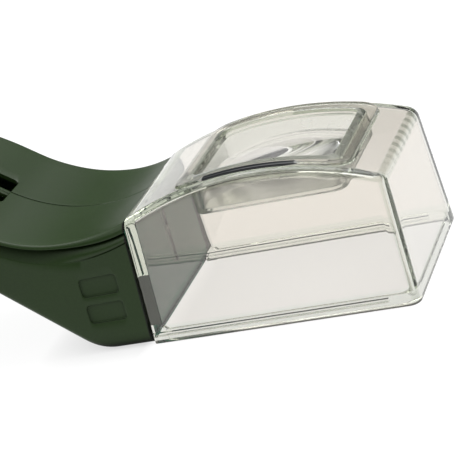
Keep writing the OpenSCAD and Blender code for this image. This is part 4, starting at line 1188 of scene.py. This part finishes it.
# radius and height of the head, radius and length of the shank
HANDLE_SCREW, CLAMP_SCREW = (2.5, 1.8, 1.25, 14.0), (1.7, 1.0, 0.9, 6.0)
for i, (d, z) in enumerate(zip(SCREW_D, SCREW_Z)):
    place = (Matrix.Translation((-d, HEAD_SEAT_Y, z)) @ Matrix.Rotation(radians(-90), 4, "X")
             @ Matrix.Rotation(0.5 + 1.3 * i, 4, "Z"))
    handle_screw = screw(f"handle_screw_{i + 1}", *HANDLE_SCREW, place)
    give(handle_screw, steel, "screw_steel", "handle", "handle_screws")
for s, side in ((-1, "near"), (1, "far")):
    head_seat = Matrix.Translation((0, s * LEG_Y, CLAMP_TOP - CLAMP_T + CLAMP_SINK))
    clamp_screw = screw(f"clamp_screw_{side}", *CLAMP_SCREW,
                        OPEN_PLACE @ head_seat @ Matrix.Rotation(pi, 4, "X"))
    give(clamp_screw, steel, "screw_steel", "slider", "clamp_screws")

# Floor, just below the rim so that their faces never lie in one plane
FLOOR_SIZE, FLOOR_Z = 8.0, -0.0003
bm = bmesh.new()
bmesh.ops.create_grid(bm, x_segments=2, y_segments=2, size=FLOOR_SIZE)
floor_mesh = bpy.data.meshes.new("floor")
bm.to_mesh(floor_mesh)
bm.free()
floor = bpy.data.objects.new("floor", floor_mesh)
floor.location = (0, 0, FLOOR_Z)
scene.collection.objects.link(floor)
floor.data.materials.append(floor_material())

# Studio: the sky's brightness by height, with a dark band that the glossy faces reflect
SKY = ((0.0, 0.9), (1.0, 1.6), (0.1, 0.95), (0.2, 0.1), (0.43, 0.12), (0.52, 0.95), (0.7, 1.35))
world = bpy.data.worlds.new("studio")
scene.world = world
world.use_nodes = True
background = world.node_tree.nodes["Background"]
_, across, height = split(world, add_node(world, "TexCoord").outputs["Generated"])
sky = add_node(world, "ValToRGB")
link(world, height.out, sky.inputs["Fac"])
link(world, sky.outputs["Color"], background.inputs["Color"])
points = sky.color_ramp.elements
for i, (at, level) in enumerate(SKY):
    point = points[i] if i < 2 else points.new(at)
    point.position, point.color = at, (level, level, level, 1)
link(world, map_range(across, -1.0, 0.6, 0.45, 1.1).out, background.inputs["Strength"])


def area(name, place, aim, size, power):
    light = bpy.data.lights.new(name, "AREA")
    light.shape = "RECTANGLE"
    light.size, light.size_y = size
    light.energy = power
    obj = bpy.data.objects.new(name, light)
    obj.location = place
    obj.rotation_mode = "QUATERNION"
    obj.rotation_quaternion = (Vector(aim) - Vector(place)).to_track_quat("-Z", "Y")
    scene.collection.objects.link(obj)


area("top_box", (0.05, 0.35, 1.5), (0.02, 0, 0.02), (1.3, 1.0), 14)
area("left_box", (-1.3, -0.7, 0.9), (0, 0, 0.03), (0.8, 0.8), 4)

# Camera, fitted to the chamber's edges in the photograph; its roll makes the object lean back
PHOTO_PX, FOCAL_PX, SENSOR = 460.0, 1924.0, 36.0
CAMERA_X, CAMERA_Y, CAMERA_Z = 251.0, -548.4, 244.2
azimuth, elevation, roll = (radians(v) for v in (-22.50, 20.56, 17.94))
camera_data = bpy.data.cameras.new("camera")
camera_data.sensor_width = SENSOR
camera_data.lens = FOCAL_PX / PHOTO_PX * SENSOR
camera_data.clip_start, camera_data.clip_end = 0.05, 50.0
camera = bpy.data.objects.new("camera", camera_data)
forward = Vector((sin(azimuth) * cos(elevation),
                  cos(azimuth) * cos(elevation), -sin(elevation)))
level_right = forward.cross(Vector((0, 0, 1))).normalized()
level_down = forward.cross(level_right).normalized()
right = level_right * cos(roll) + level_down * sin(roll)
up = right.cross(forward).normalized()
turn = Matrix((right, up, -forward)).transposed().to_4x4()
camera.matrix_world = Matrix.Translation(
    ((CAMERA_X + SHIFT) / MM, CAMERA_Y / MM, CAMERA_Z / MM)) @ turn
scene.collection.objects.link(camera)
scene.camera = camera
scene.view_settings.view_transform = "Standard"
scene.cycles.max_bounces = 40
scene.cycles.transmission_bounces = 40
scene.cycles.glossy_bounces = 24
